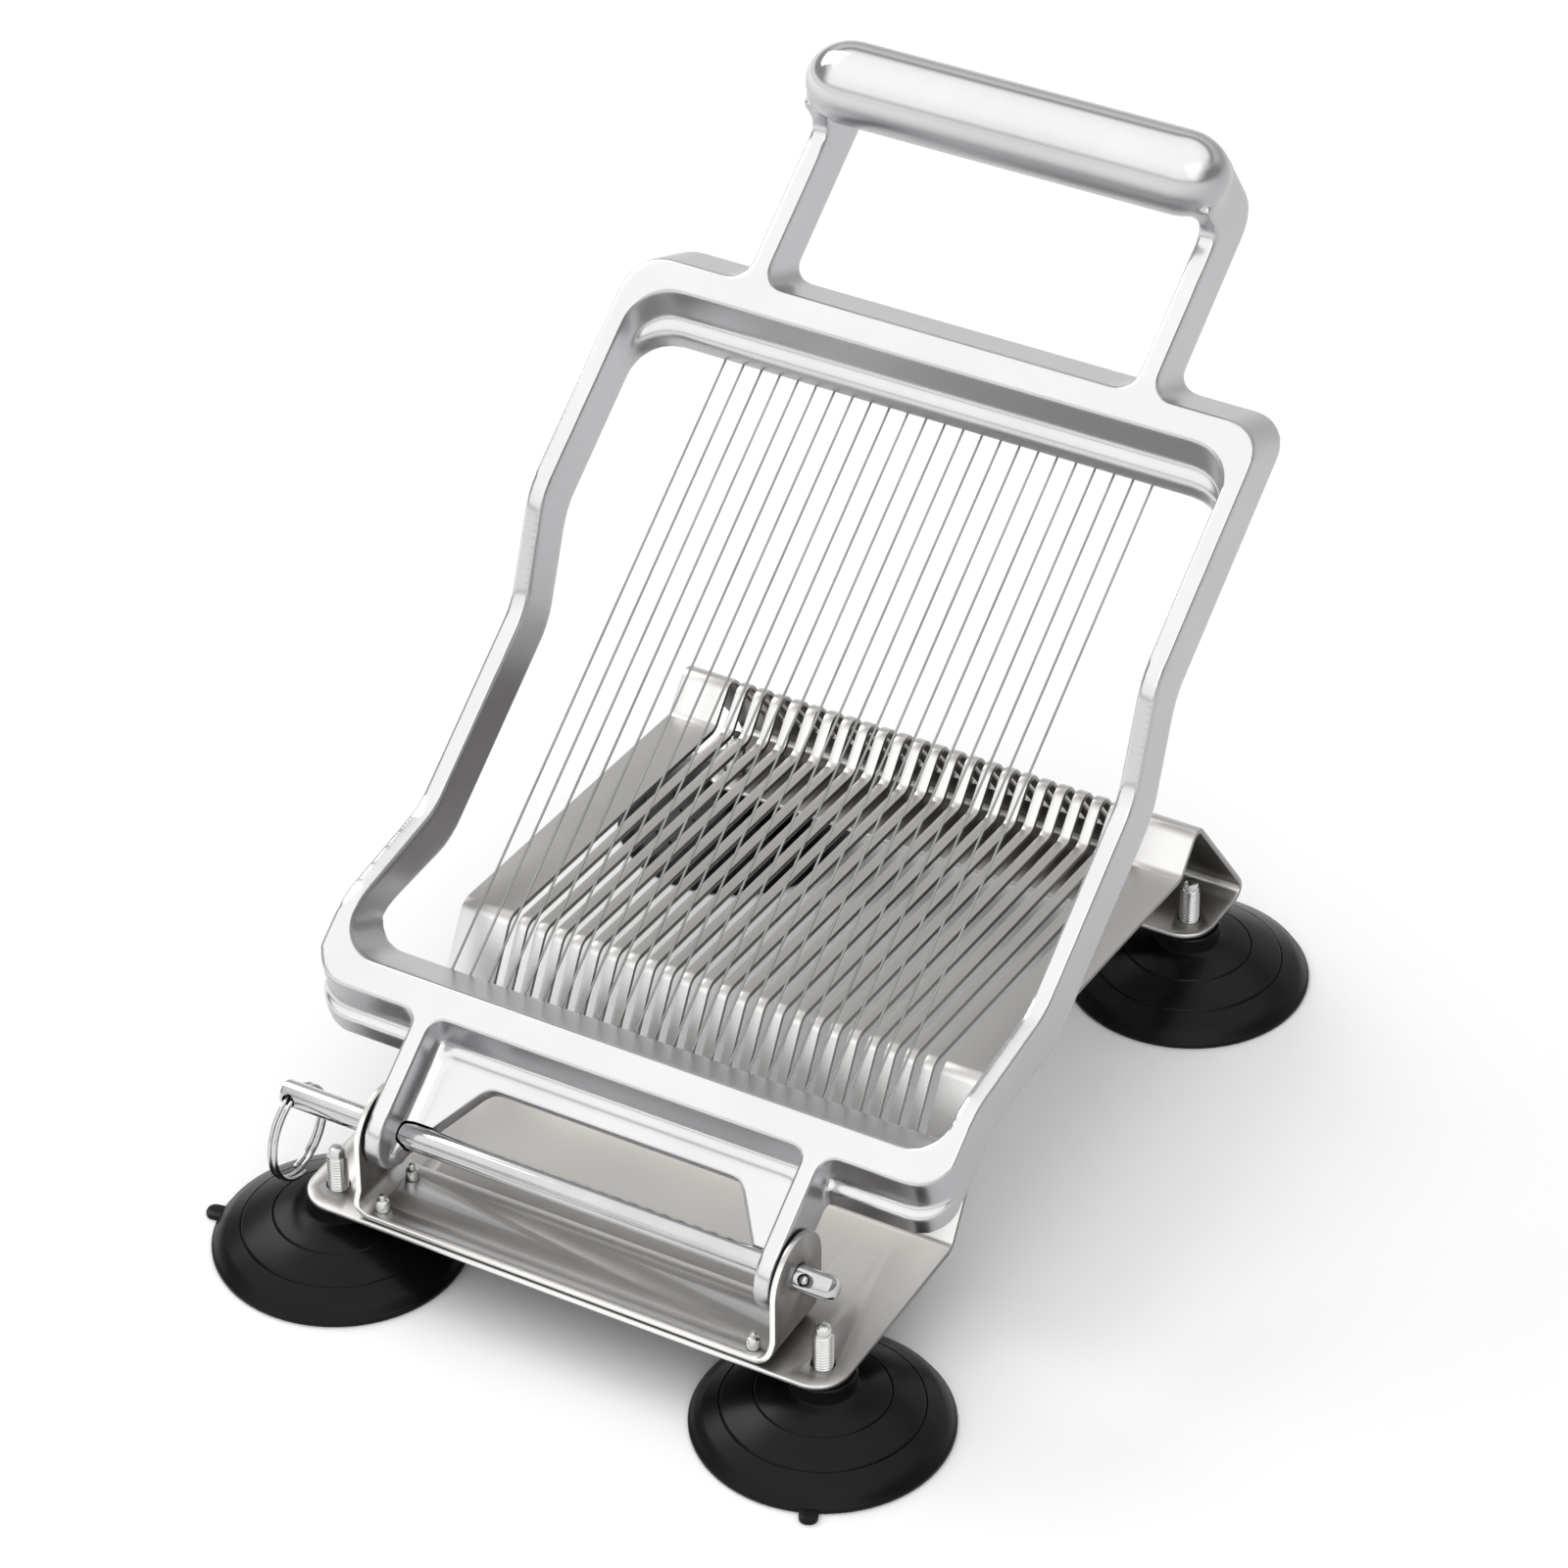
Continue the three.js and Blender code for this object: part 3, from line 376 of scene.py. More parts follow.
def rod(place: Triple, radius: float, length: float, sides: int, axis: str = "Z") -> Thing:
    """Adds a cylinder.

    Args:
        place: Its middle, in millimetres.
        radius: Its radius.
        length: Its length.
        sides: How many sides it has.
        axis: The axis that it lies along.

    Returns:
        The cylinder, in object mode.
    """
    release()
    turns = {"X": (0, math.pi / 2, 0), "Y": (math.pi / 2, 0, 0), "Z": (0, 0, 0)}
    bpy.ops.mesh.primitive_cylinder_add(
        vertices=sides, radius=radius * MM, depth=length * MM, rotation=turns[axis],
        location=Vector(place) * MM,
    )
    return bpy.context.object


def section(name: str, radius: float, sides: int, place: Triple) -> Thing:
    """Adds the upright open circle that a screw is wound from.

    Args:
        name: The name of the object.
        radius: Its radius, in millimetres.
        sides: How many sides it has.
        place: Its middle, in millimetres.

    Returns:
        The circle, in edit mode.
    """
    release()
    bpy.ops.mesh.primitive_circle_add(
        vertices=sides, radius=radius * MM, fill_type="NOTHING", rotation=(math.pi / 2, 0, 0),
        location=Vector(place) * MM,
    )
    return started(name)


def fitted(obj: Thing, kind: str, **settings: object) -> Thing:
    """Adds a modifier, sets it and applies it.

    Args:
        obj: The object.
        kind: The modifier's type.
        **settings: Its settings by name.

    Returns:
        The same object.
    """
    hold(obj)
    modifier = obj.modifiers.new(kind.lower(), kind)
    for key, value in settings.items():
        setattr(modifier, key, value)
    bpy.ops.object.modifier_apply(modifier=modifier.name)
    return obj


def eased(obj: Thing, width: float, degrees: float, steps: int = 2, clamp: bool = False) -> Thing:
    """Rounds the edges where faces meet at more than an angle.

    Args:
        obj: The solid.
        width: How far from the edge the rounding starts, in millimetres.
        degrees: The angle.
        steps: How many sides the rounding has.
        clamp: Whether it stops short of its neighbours.

    Returns:
        The same object.
    """
    return fitted(obj, "BEVEL", width=width * MM, segments=steps, limit_method="ANGLE",
                  angle_limit=math.radians(degrees), use_clamp_overlap=clamp)


def wound(obj: Thing, angle: float, rise: float, turns: int, steps: int) -> Thing:
    """Winds an open circle into a screw about the upright axis and closes its ends.

    Args:
        obj: The circle, in object mode.
        angle: How far one turn goes.
        rise: How far it climbs in one turn, in millimetres.
        turns: How many turns there are.
        steps: How many steps one turn has.

    Returns:
        The closed solid, in object mode.
    """
    fitted(obj, "SCREW", axis="Z", angle=angle, screw_offset=rise * MM, iterations=turns, steps=steps,
           render_steps=steps, use_merge_vertices=False, use_normal_calculate=True)
    hold(obj)
    bpy.ops.object.mode_set(mode="EDIT")
    bpy.ops.mesh.select_mode(type="EDGE")
    bpy.ops.mesh.select_all(action="DESELECT")
    bpy.ops.mesh.select_non_manifold(extend=False)
    bpy.ops.mesh.edge_face_add()
    face_out(obj)
    return obj


def combined(obj: Thing, other: Thing, operation: str = "DIFFERENCE") -> Thing:
    """Combines two solids and throws the second away.

    Args:
        obj: The solid that is kept.
        other: The solid that acts on it.
        operation: The name of the boolean operation.

    Returns:
        The first object.
    """
    fitted(obj, "BOOLEAN", operation=operation, solver="EXACT", object=other)
    bpy.data.objects.remove(other)
    return obj


def joined(name: str, parts: Sequence[Thing]) -> Thing:
    """Joins objects into one mesh.

    Args:
        name: The name of the whole.
        parts: The objects.

    Returns:
        The first object, which holds them all.
    """
    hold(parts[0])
    for part in parts:
        part.select_set(True)
    bpy.ops.object.join()
    return named(parts[0], name)


def settled(obj: Thing, place: Matrix) -> Thing:
    """Takes an object to its place, which ends up in its mesh.

    Args:
        obj: The object.
        place: The move and turn, in metres.

    Returns:
        The same object, at the origin.
    """
    hold(obj)
    obj.matrix_world = place @ obj.matrix_world
    bpy.ops.object.transform_apply(location=True, rotation=True, scale=True)
    return obj


def copied(obj: Thing, name: str, place: Matrix) -> Thing:
    """Copies an object with its own mesh and takes the copy to its place.

    Args:
        obj: The object to copy.
        name: The name of the copy.
        place: Its move and turn, in metres.

    Returns:
        The copy.
    """
    hold(obj)
    bpy.ops.object.duplicate(linked=False)
    return settled(named(bpy.context.object, name), place)


def smoothed(obj: Thing, degrees: float = 32) -> Thing:
    """Shades an object smooth where its faces meet at less than an angle.

    Args:
        obj: The object.
        degrees: The angle.

    Returns:
        The same object.
    """
    hold(obj)
    bpy.ops.object.shade_smooth_by_angle(angle=math.radians(degrees))
    return obj


@dataclass(frozen=True)
class Grain:
    """A noise: how many grains there are in a metre, and what each axis is multiplied by."""

    scale: float
    stretch: Triple = (1, 1, 1)
    detail: float = 3


@dataclass(frozen=True)
class PaintedLight:
    """A colour that multiplies the surface where it faces a way of the object's own axes, as painted light where
    it is above one and painted shade where it is below.

    The way is one metre long. Its share on the surface is the low one where the colour starts to count
    and the high one where it counts in full.
    """

    way: Triple
    low: float
    high: float
    colour: Triple


class Weave:
    """Builds the nodes of one procedural material."""

    def __init__(self, name: str) -> None:
        """Starts a material with its shader and its coordinates.

        Args:
            name: The name of the material.
        """
        self.material = bpy.data.materials.new(name)
        self.material.use_nodes = True
        self.nodes = self.material.node_tree.nodes
        self.links = self.material.node_tree.links
        self.shader = self.nodes["Principled BSDF"]
        self.places = self.nodes.new("ShaderNodeTexCoord")

    def fix(self, **values: object) -> None:
        """Sets constants on the shader's own sockets."""
        for key, value in values.items():
            self.shader.inputs[key.replace("_", " ")].default_value = value

    def noise(self, grain: Grain) -> bpy.types.NodeSocket:
        """Adds a noise on object coordinates and gives its factor.

        Args:
            grain: The noise.

        Returns:
            Its factor, from 0 to 1.
        """
        mapping = self.nodes.new("ShaderNodeMapping")
        mapping.inputs["Scale"].default_value = grain.stretch
        texture = self.nodes.new("ShaderNodeTexNoise")
        texture.inputs["Scale"].default_value = grain.scale
        texture.inputs["Detail"].default_value = grain.detail
        self.links.new(self.places.outputs["Object"], mapping.inputs["Vector"])
        self.links.new(mapping.outputs["Vector"], texture.inputs["Vector"])
        return texture.outputs["Fac"]

    def span(self, source: bpy.types.NodeSocket, low: float, high: float, key: str) -> None:
        """Spreads a factor over a range and gives it to a socket of the shader.

        Args:
            source: The factor.
            low: The value at its darkest.
            high: The value at its brightest.
            key: The name of the socket.
        """
        spread_out = self.nodes.new("ShaderNodeMapRange")
        spread_out.inputs["From Min"].default_value = 0.25
        spread_out.inputs["From Max"].default_value = 0.75
        spread_out.inputs["To Min"].default_value = low
        spread_out.inputs["To Max"].default_value = high
        self.links.new(source, spread_out.inputs["Value"])
        self.links.new(spread_out.outputs["Result"], self.shader.inputs[key])

    def shade(self, facing: PaintedLight) -> bpy.types.NodeSocket:
        """Multiplies the surface's colour by another where it faces a way, as painted light or painted shade, and
        gives the factor.

        Args:
            facing: The way and the colour.

        Returns:
            How far the surface faces the way, from 0 to 1.
        """
        product = self.nodes.new("ShaderNodeVectorMath")
        product.operation = "DOT_PRODUCT"
        product.inputs[1].default_value = facing.way
        share = self.nodes.new("ShaderNodeMapRange")
        share.interpolation_type = "SMOOTHSTEP"
        share.inputs["From Min"].default_value = facing.low
        share.inputs["From Max"].default_value = facing.high
        self.links.new(self.places.outputs["Normal"], product.inputs[0])
        self.links.new(product.outputs["Value"], share.inputs["Value"])
        base = self.shader.inputs["Base Color"]
        before = base.links[0].from_socket
        mix = self.nodes.new("ShaderNodeMix")
        mix.data_type = "RGBA"
        mix.blend_type = "MULTIPLY"
        first, second = [socket for socket in mix.inputs if socket.type == "RGBA"]
        second.default_value = (*facing.colour, 1)
        self.links.new(share.outputs["Result"], mix.inputs["Factor"])
        self.links.new(before, first)
        self.links.new(next(socket for socket in mix.outputs if socket.type == "RGBA"), base)
        return share.outputs["Result"]

    def tint(self, source: bpy.types.NodeSocket, dark: Triple, pale: Triple) -> None:
        """Colours the surface between two colours by a noise.

        Args:
            source: The noise.
            dark: The colour where it is low.
            pale: The colour where it is high.
        """
        ramp = self.nodes.new("ShaderNodeValToRGB")
        for element, place, colour in zip(ramp.color_ramp.elements, (0.3, 0.7), (dark, pale)):
            element.position = place
            element.color = (*colour, 1)
        self.links.new(source, ramp.inputs["Fac"])
        self.links.new(ramp.outputs["Color"], self.shader.inputs["Base Color"])

    def rough_up(self, source: bpy.types.NodeSocket, strength: float, depth: float) -> None:
        """Raises the surface by a noise.

        Args:
            source: The noise.
            strength: How much it counts.
            depth: The height of its hills, in metres.
        """
        bump = self.nodes.new("ShaderNodeBump")
        bump.inputs["Strength"].default_value = strength
        bump.inputs["Distance"].default_value = depth
        self.links.new(source, bump.inputs["Height"])
        self.links.new(bump.outputs["Normal"], self.shader.inputs["Normal"])


@dataclass(frozen=True)
class Finish:
    """One finish by the name of its slot, with any light and shade painted on it by the way a face turns. Its
    roughness follows its grain, or else the share of the last painted light or shade.
    """

    name: str
    dark: Triple
    pale: Triple
    tint: Grain
    rough: tuple[float, float]
    rough_grain: Grain | None = None
    # Colours that paint light or shade by the way a face turns.
    painted_light: tuple[PaintedLight, ...] = ()
    marks: Grain | None = None
    mark_strength: float = 0.0
    mark_depth: float = 0.00001
    metallic: float = 1.0
    specular: float = 0.5

    def make(self) -> bpy.types.Material:
        """Builds the material.

        Returns:
            The material, with every node linked.
        """
        weave = Weave(f"{self.name}_finish")
        weave.fix(Metallic=self.metallic, Specular_IOR_Level=self.specular)
        weave.tint(weave.noise(self.tint), self.dark, self.pale)
        # Paints light and shade into the colour by the way each face turns.
        shares = [weave.shade(facing) for facing in self.painted_light]
        source = weave.noise(self.rough_grain) if self.rough_grain else shares[-1]
        weave.span(source, *self.rough, "Roughness")
        if self.marks:
            weave.rough_up(weave.noise(self.marks), self.mark_strength, self.mark_depth)
        return weave.material


DOWN = (0, 0, -1)
FORWARD = (0, -1, 0)
BACK = (0, 1, 0)
LEFT = (-1, 0, 0)
RIGHT = (1, 0, 0)
FRAME_UP = (0, -0.5903, 0.8072)
# Painted shade: darkens every face of the sheet steel that turns downwards.
PAINTED_UNDERSIDE_SHADE = (0.14, 0.135, 0.13)
# Painted light: brightens the sheet steel's faces that turn to the front, such as the comb's ribs and the cut
# edges.
PAINTED_FRONT_LIGHT = (1.8, 1.84, 1.9)
# Painted light: brightens the sheet steel's faces that turn even slightly to the back, such as the slotted table.
PAINTED_TABLE_LIGHT = (1.26, 1.28, 1.33)
# Painted shade: darkens the sheet steel's faces that turn left or right, meant for the slot walls; the bracket's
# ears and the plate's side edges are darkened too.
PAINTED_SIDE_SHADE = (0.45, 0.44, 0.43)
# Painted shade: darkens the casting's walls, all but the faces that turn up like the frame's top.
PAINTED_WALL_SHADE = (0.62, 0.61, 0.62)
FINISHES = (
    Finish(
        name="sheet_steel", dark=(0.52, 0.505, 0.485), pale=(0.56, 0.545, 0.52), tint=Grain(22),
        rough=(0.33, 0.37), rough_grain=Grain(60),
        # Painted shade underneath and on faces that turn sideways; painted light on faces that turn to the front
        # or the back.
        painted_light=(
            PaintedLight(DOWN, 0.1, 0.5, PAINTED_UNDERSIDE_SHADE), PaintedLight(FORWARD, 0.5, 0.8, PAINTED_FRONT_LIGHT),
            PaintedLight(BACK, 0.03, 0.06, PAINTED_TABLE_LIGHT), PaintedLight(LEFT, 0.8, 0.95, PAINTED_SIDE_SHADE), PaintedLight(RIGHT, 0.8, 0.95, PAINTED_SIDE_SHADE),
        ),
    ),
    Finish(
        name="polished_aluminium", dark=(0.71, 0.71, 0.72), pale=(0.75, 0.75, 0.76), tint=Grain(45),
        # Painted shade on the walls that turn away from the frame's top; those walls are rougher too.
        rough=(0.14, 0.30), painted_light=(PaintedLight(FRAME_UP, 0.92, 0.35, PAINTED_WALL_SHADE),),
    ),
    Finish(
        name="polished_steel", dark=(0.55, 0.55, 0.56), pale=(0.62, 0.62, 0.63), tint=Grain(120),
        rough=(0.06, 0.12), rough_grain=Grain(1500, (0.2, 1, 1)),
        marks=Grain(1500, (3, 0.2, 0.2)), mark_strength=0.06,
    ),
    Finish(
        name="wire_steel", dark=(0.30, 0.30, 0.295), pale=(0.42, 0.42, 0.41),
        tint=Grain(700, (1, 0.05, 0.05)), rough=(0.22, 0.38), rough_grain=Grain(1200, (1, 0.1, 0.1)),
        marks=Grain(3000, (1, 0.1, 0.1)), mark_strength=0.1,
    ),
    Finish(
        name="plated_steel", dark=(0.62, 0.62, 0.61), pale=(0.70, 0.70, 0.69), tint=Grain(90),
        rough=(0.18, 0.26), rough_grain=Grain(120),
    ),
    Finish(
        name="black_rubber", dark=(0.003, 0.003, 0.0036), pale=(0.006, 0.006, 0.0072), tint=Grain(40),
        rough=(0.24, 0.30), rough_grain=Grain(50), metallic=0.0, specular=0.16,
    ),
)


class Shelf:
    """The finishes, each made once and named by its slot of the record."""

    def __init__(self) -> None:
        """Makes every finish."""
        self.made = {finish.name: finish.make() for finish in FINISHES}

    def coat(self, obj: Thing, slot: str) -> None:
        """Gives an object one finish all over."""
        obj.data.materials.clear()
        obj.data.materials.append(self.made[slot])

    def hand_over(self, obj: Thing, slot: str, node: str, body: str) -> None:
        """Coats a finished object and puts it in the place of a node of the frame.

        Args:
            obj: The object.
            slot: The slot of its finish.
            node: The node whose place it takes.
            body: The body that it rides on.
        """
        self.coat(obj, slot)
        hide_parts(node)
        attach(obj, body)
        LOG.info("%s: %d faces", obj.name, len(obj.data.polygons))

    def set_out(
        self, pattern: Thing, name: str, places: Sequence[Matrix], slot: str, node: str, body: str,
    ) -> None:
        """Hands over a numbered copy of a pattern at each place and removes the pattern.

        Args:
            pattern: The object to copy.
            name: The copies' name before its number.
            places: Their moves and turns, in metres.
            slot: The slot of their finish.
            node: The name of the nodes whose place they take, before its number.
            body: The body that they ride on.
        """
        for index, place in enumerate(places, start=1):
            obj = smoothed(copied(pattern, f"{name}_{index:02d}", place))
            self.hand_over(obj, slot, f"{node}_{index:02d}", body)
        bpy.data.objects.remove(pattern)


@dataclass
class Pivot:
    """Where the hinge is and how the cutting frame is turned on it."""

    shift: Vector
    along: float = -90.5
    up: float = 36.0
    degrees: float = 36.18

    def base(self) -> Matrix:
        """The move from the drawing of the base to the frame of the row."""
        return Matrix.Translation(self.shift)

    def pin(self) -> Matrix:
        """The move from the pin's own axes to the frame of the row."""
        return self.base() @ moved(0, self.along, self.up)

    def frame(self) -> Matrix:
        """The move and turn from the cutting frame's own axes to the frame of the row."""
        return self.pin() @ Matrix.Rotation(math.radians(self.degrees), 4, "X")


@dataclass
class SheetBase:
    """The bent and slotted base plate, the hinge bracket and the four rivets that hold it."""

    shelf: Shelf
    pivot: Pivot
    width: float = 144
    sheet: float = 1.5
    path: Pairs = ((-104, 18), (-46, 18), (-26, 53.3), (73.4, 46.6), (82.7, 57.6), (115.2, 16.5), (87, 16.5))
    outer_radii: tuple[float, ...] = (2.5, 4, 2.5, 4, 4)
    bend_steps: int = 7
    plate_corner: float = 8.5
    plate_corner_steps: int = 10
    slot_width: float = 2.2
    slot_low: tuple[float, float] = (-46, 31)
    slot_slope: tuple[float, float] = (163.2, 4.5)
    feet: tuple[float, float] = (65, 95.3)
    stud_hole: float = 2.85
    rivet_hole: float = 1.55
    rivet_places: Pairs = ((-49.6, -100), (-49.6, -87), (49.6, -100), (49.6, -87))
    plate_drill: tuple[float, float] = (14, 20)
    bracket_drill: tuple[float, float] = (16, 22)
    bracket_half: float = 54.5
    bracket_floor: float = 19.8
    bracket_bend: float = 3.5
    bracket_front: float = -103.5
    bracket_rear: float = -82
    ear_radius: float = 11
    pin_hole: float = 3.6
    across: float = 130
    edge: float = 0.3

    def build(self) -> None:
        """Builds the plate, the bracket and the rivets, and hands them over."""
        self.plate()
        self.bracket()
        self.rivets()

    def finish(self, obj: Thing, node: str) -> None:
        """Eases the edges of a drilled sheet, takes it to its place and hands it over.

        Args:
            obj: The sheet.
            node: The node whose place it takes.
        """
        eased(obj, self.edge, 50)
        smoothed(settled(obj, self.pivot.base()))
        self.shelf.hand_over(obj, "sheet_steel", node, "base")

    def thicken(self, obj: Thing) -> None:
        """Gives an open sheet its thickness, below the side that it faces."""
        fitted(obj, "SOLIDIFY", thickness=self.sheet * MM, offset=-1, use_even_offset=True)

    def plate(self) -> None:
        """Bends, slots and thickens the base plate."""
        half = self.width / 2
        obj = chain("base_sheet", [Plane.YZ.place(y, z, -half) for y, z in self.path])
        draw_out(Plane.YZ.place(0, 0, self.width))
        self.bend(obj)
        self.round_corners(obj)
        self.cut_slots(obj)
        face_up(obj, lambda middle: middle.y)
        self.thicken(obj)
        across, along = self.feet
        holes = [(x, y, self.stud_hole) for x in (-across, across) for y in (-along, along)]
        self.drill(obj, holes, *self.plate_drill)
        self.drill(obj, [(x, y, self.rivet_hole) for x, y in self.rivet_places], *self.plate_drill)
        self.finish(obj, "base_plate")

    def bend(self, obj: Thing) -> None:
        """Rounds the five bends of the flat ribbon.

        Args:
            obj: The ribbon, in edit mode.
        """
        corners = [Corner(y, z) for y, z in self.path]
        for index, radius in enumerate(self.outer_radii, start=1):
            y, z = self.path[index]
            cut = Corner(y, z, radius).cut(corners[index - 1], corners[index + 1])
            choose(obj, Pick.EDGES, lambda co: same(co.y, y) and same(co.z, z))
            rounded("EDGES", cut, self.bend_steps)

    def round_corners(self, obj: Thing) -> None:
        """Rounds the outer corners of the front plate and of the folded rear flange.

        Args:
            obj: The ribbon, in edit mode.
        """
        low = self.path[0][1] + 0.5
        for y, _ in (self.path[0], self.path[-1]):
            choose(obj, Pick.POINTS, lambda co: same(co.y, y) and co.z < low)
            rounded("VERTICES", self.plate_corner, self.plate_corner_steps)

    def cut_slots(self, obj: Thing) -> None:
        """Cuts the comb by slitting the ribbon at each slot's sides and taking the strips away.

        Args:
            obj: The ribbon, in edit mode.
        """
        middles, half = spread(WIRES, WIRE_PITCH), self.slot_width / 2
        normal = Vector((0, -self.slot_slope[1], self.slot_slope[0])).normalized()
        start = Vector((0, *self.slot_low))
        cuts = [(Vector((x + side * half, 0, 0)), Vector((1, 0, 0))) for x in middles for side in (-1, 1)]
        for place, way in (*cuts, (start, normal)):
            bpy.ops.mesh.select_all(action="SELECT")
            bpy.ops.mesh.bisect(plane_co=place * MM, plane_no=way, threshold=MERGE)
        choose(obj, Pick.FACES,
               lambda co: (co - start).dot(normal) > 0 and any(abs(co.x - x) < half for x in middles))
        bpy.ops.mesh.delete(type="FACE")

    def drill(self, obj: Thing, holes: Sequence[Triple], low: float, high: float) -> None:
        """Drills upright holes.

        Args:
            obj: The sheet.
            holes: Each hole's two places and radius, in millimetres.
            low: The bottom of the drills.
            high: The top of the drills.
        """
        drills = [rod((x, y, (low + high) / 2), radius, high - low, 32) for x, y, radius in holes]
        combined(obj, joined("drills", drills))

    def bracket(self) -> None:
        """Bends the hinge bracket, shapes its ears and drills it."""
        half, floor, top = self.bracket_half, self.bracket_floor, self.pivot.up + self.ear_radius + 2
        front, rear = self.bracket_front - 2, self.pivot.along + self.ear_radius + 2
        path = ((-half, top), (-half, floor), (half, floor), (half, top))
        obj = chain("hinge_ears", [Plane.XZ.place(x, z, front) for x, z in path])
        draw_out(Plane.XZ.place(0, 0, rear - front))
        for side in (-half, half):
            choose(obj, Pick.EDGES, lambda co: same(co.x, side) and same(co.z, floor))
            rounded("EDGES", self.bracket_bend, self.bend_steps)
        face_up(obj, lambda middle: abs(middle.x) + abs(middle.z))
        self.thicken(obj)
        combined(obj, self.ear_side(), "INTERSECT")
        self.drill(obj, [(x, y, self.rivet_hole) for x, y in self.rivet_places], *self.bracket_drill)
        combined(obj, rod((0, self.pivot.along, self.pivot.up), self.pin_hole, self.across, 48, "X"))
        self.finish(obj, "hinge_bracket")

    def ear_side(self) -> Thing:
        """The side view of an ear, as a solid across the whole bracket.

        Returns:
            The solid that the bent strip is cut by.
        """
        low, foot, shoulder, across = 16, 21.3, 24.3, self.bracket_half + 2.5
        near, far = self.pivot.along + self.ear_radius, self.pivot.along - self.ear_radius
        top, radius = self.pivot.up + self.ear_radius, self.ear_radius - 0.005
        corners = [
            Corner(self.bracket_front, low), Corner(self.bracket_rear, low), Corner(self.bracket_rear, foot),
            Corner(near, self.pivot.up - 6), Corner(near, top, radius), Corner(far, top, radius),
            Corner(far, shoulder), Corner(self.bracket_front, foot),
        ]
        return prism("ear_side", Plane.YZ, corners, -across, across, 16)

    def rivets(self) -> None:
        """Turns one blind rivet and sets it in the four holes."""
        low, floor, top = 15.3, self.bracket_floor, self.bracket_floor + 3
        profile = [
            (0, low), (2.1, low), (2.4, low + 0.2), (2.5, low + 0.45), (2.5, low + 0.9), (1.25, low + 0.9),
            (1.25, floor + 0.03), (1.6, floor + 0.05), (1.65, floor + 0.3), (1.65, top - 1.1), (1.5, top - 0.4),
            (1.15, top - 0.08), (0.8, top), (0.8, top + 1.1), (0.6, top + 1.4), (0, top + 1.5),
        ]
        places = [self.pivot.base() @ moved(x, y, 0) for x, y in self.rivet_places]
        pattern = spun("rivet_pattern", profile, 24)
        self.shelf.set_out(pattern, "blind_rivet", places, "plated_steel", "bracket_rivet", "base")


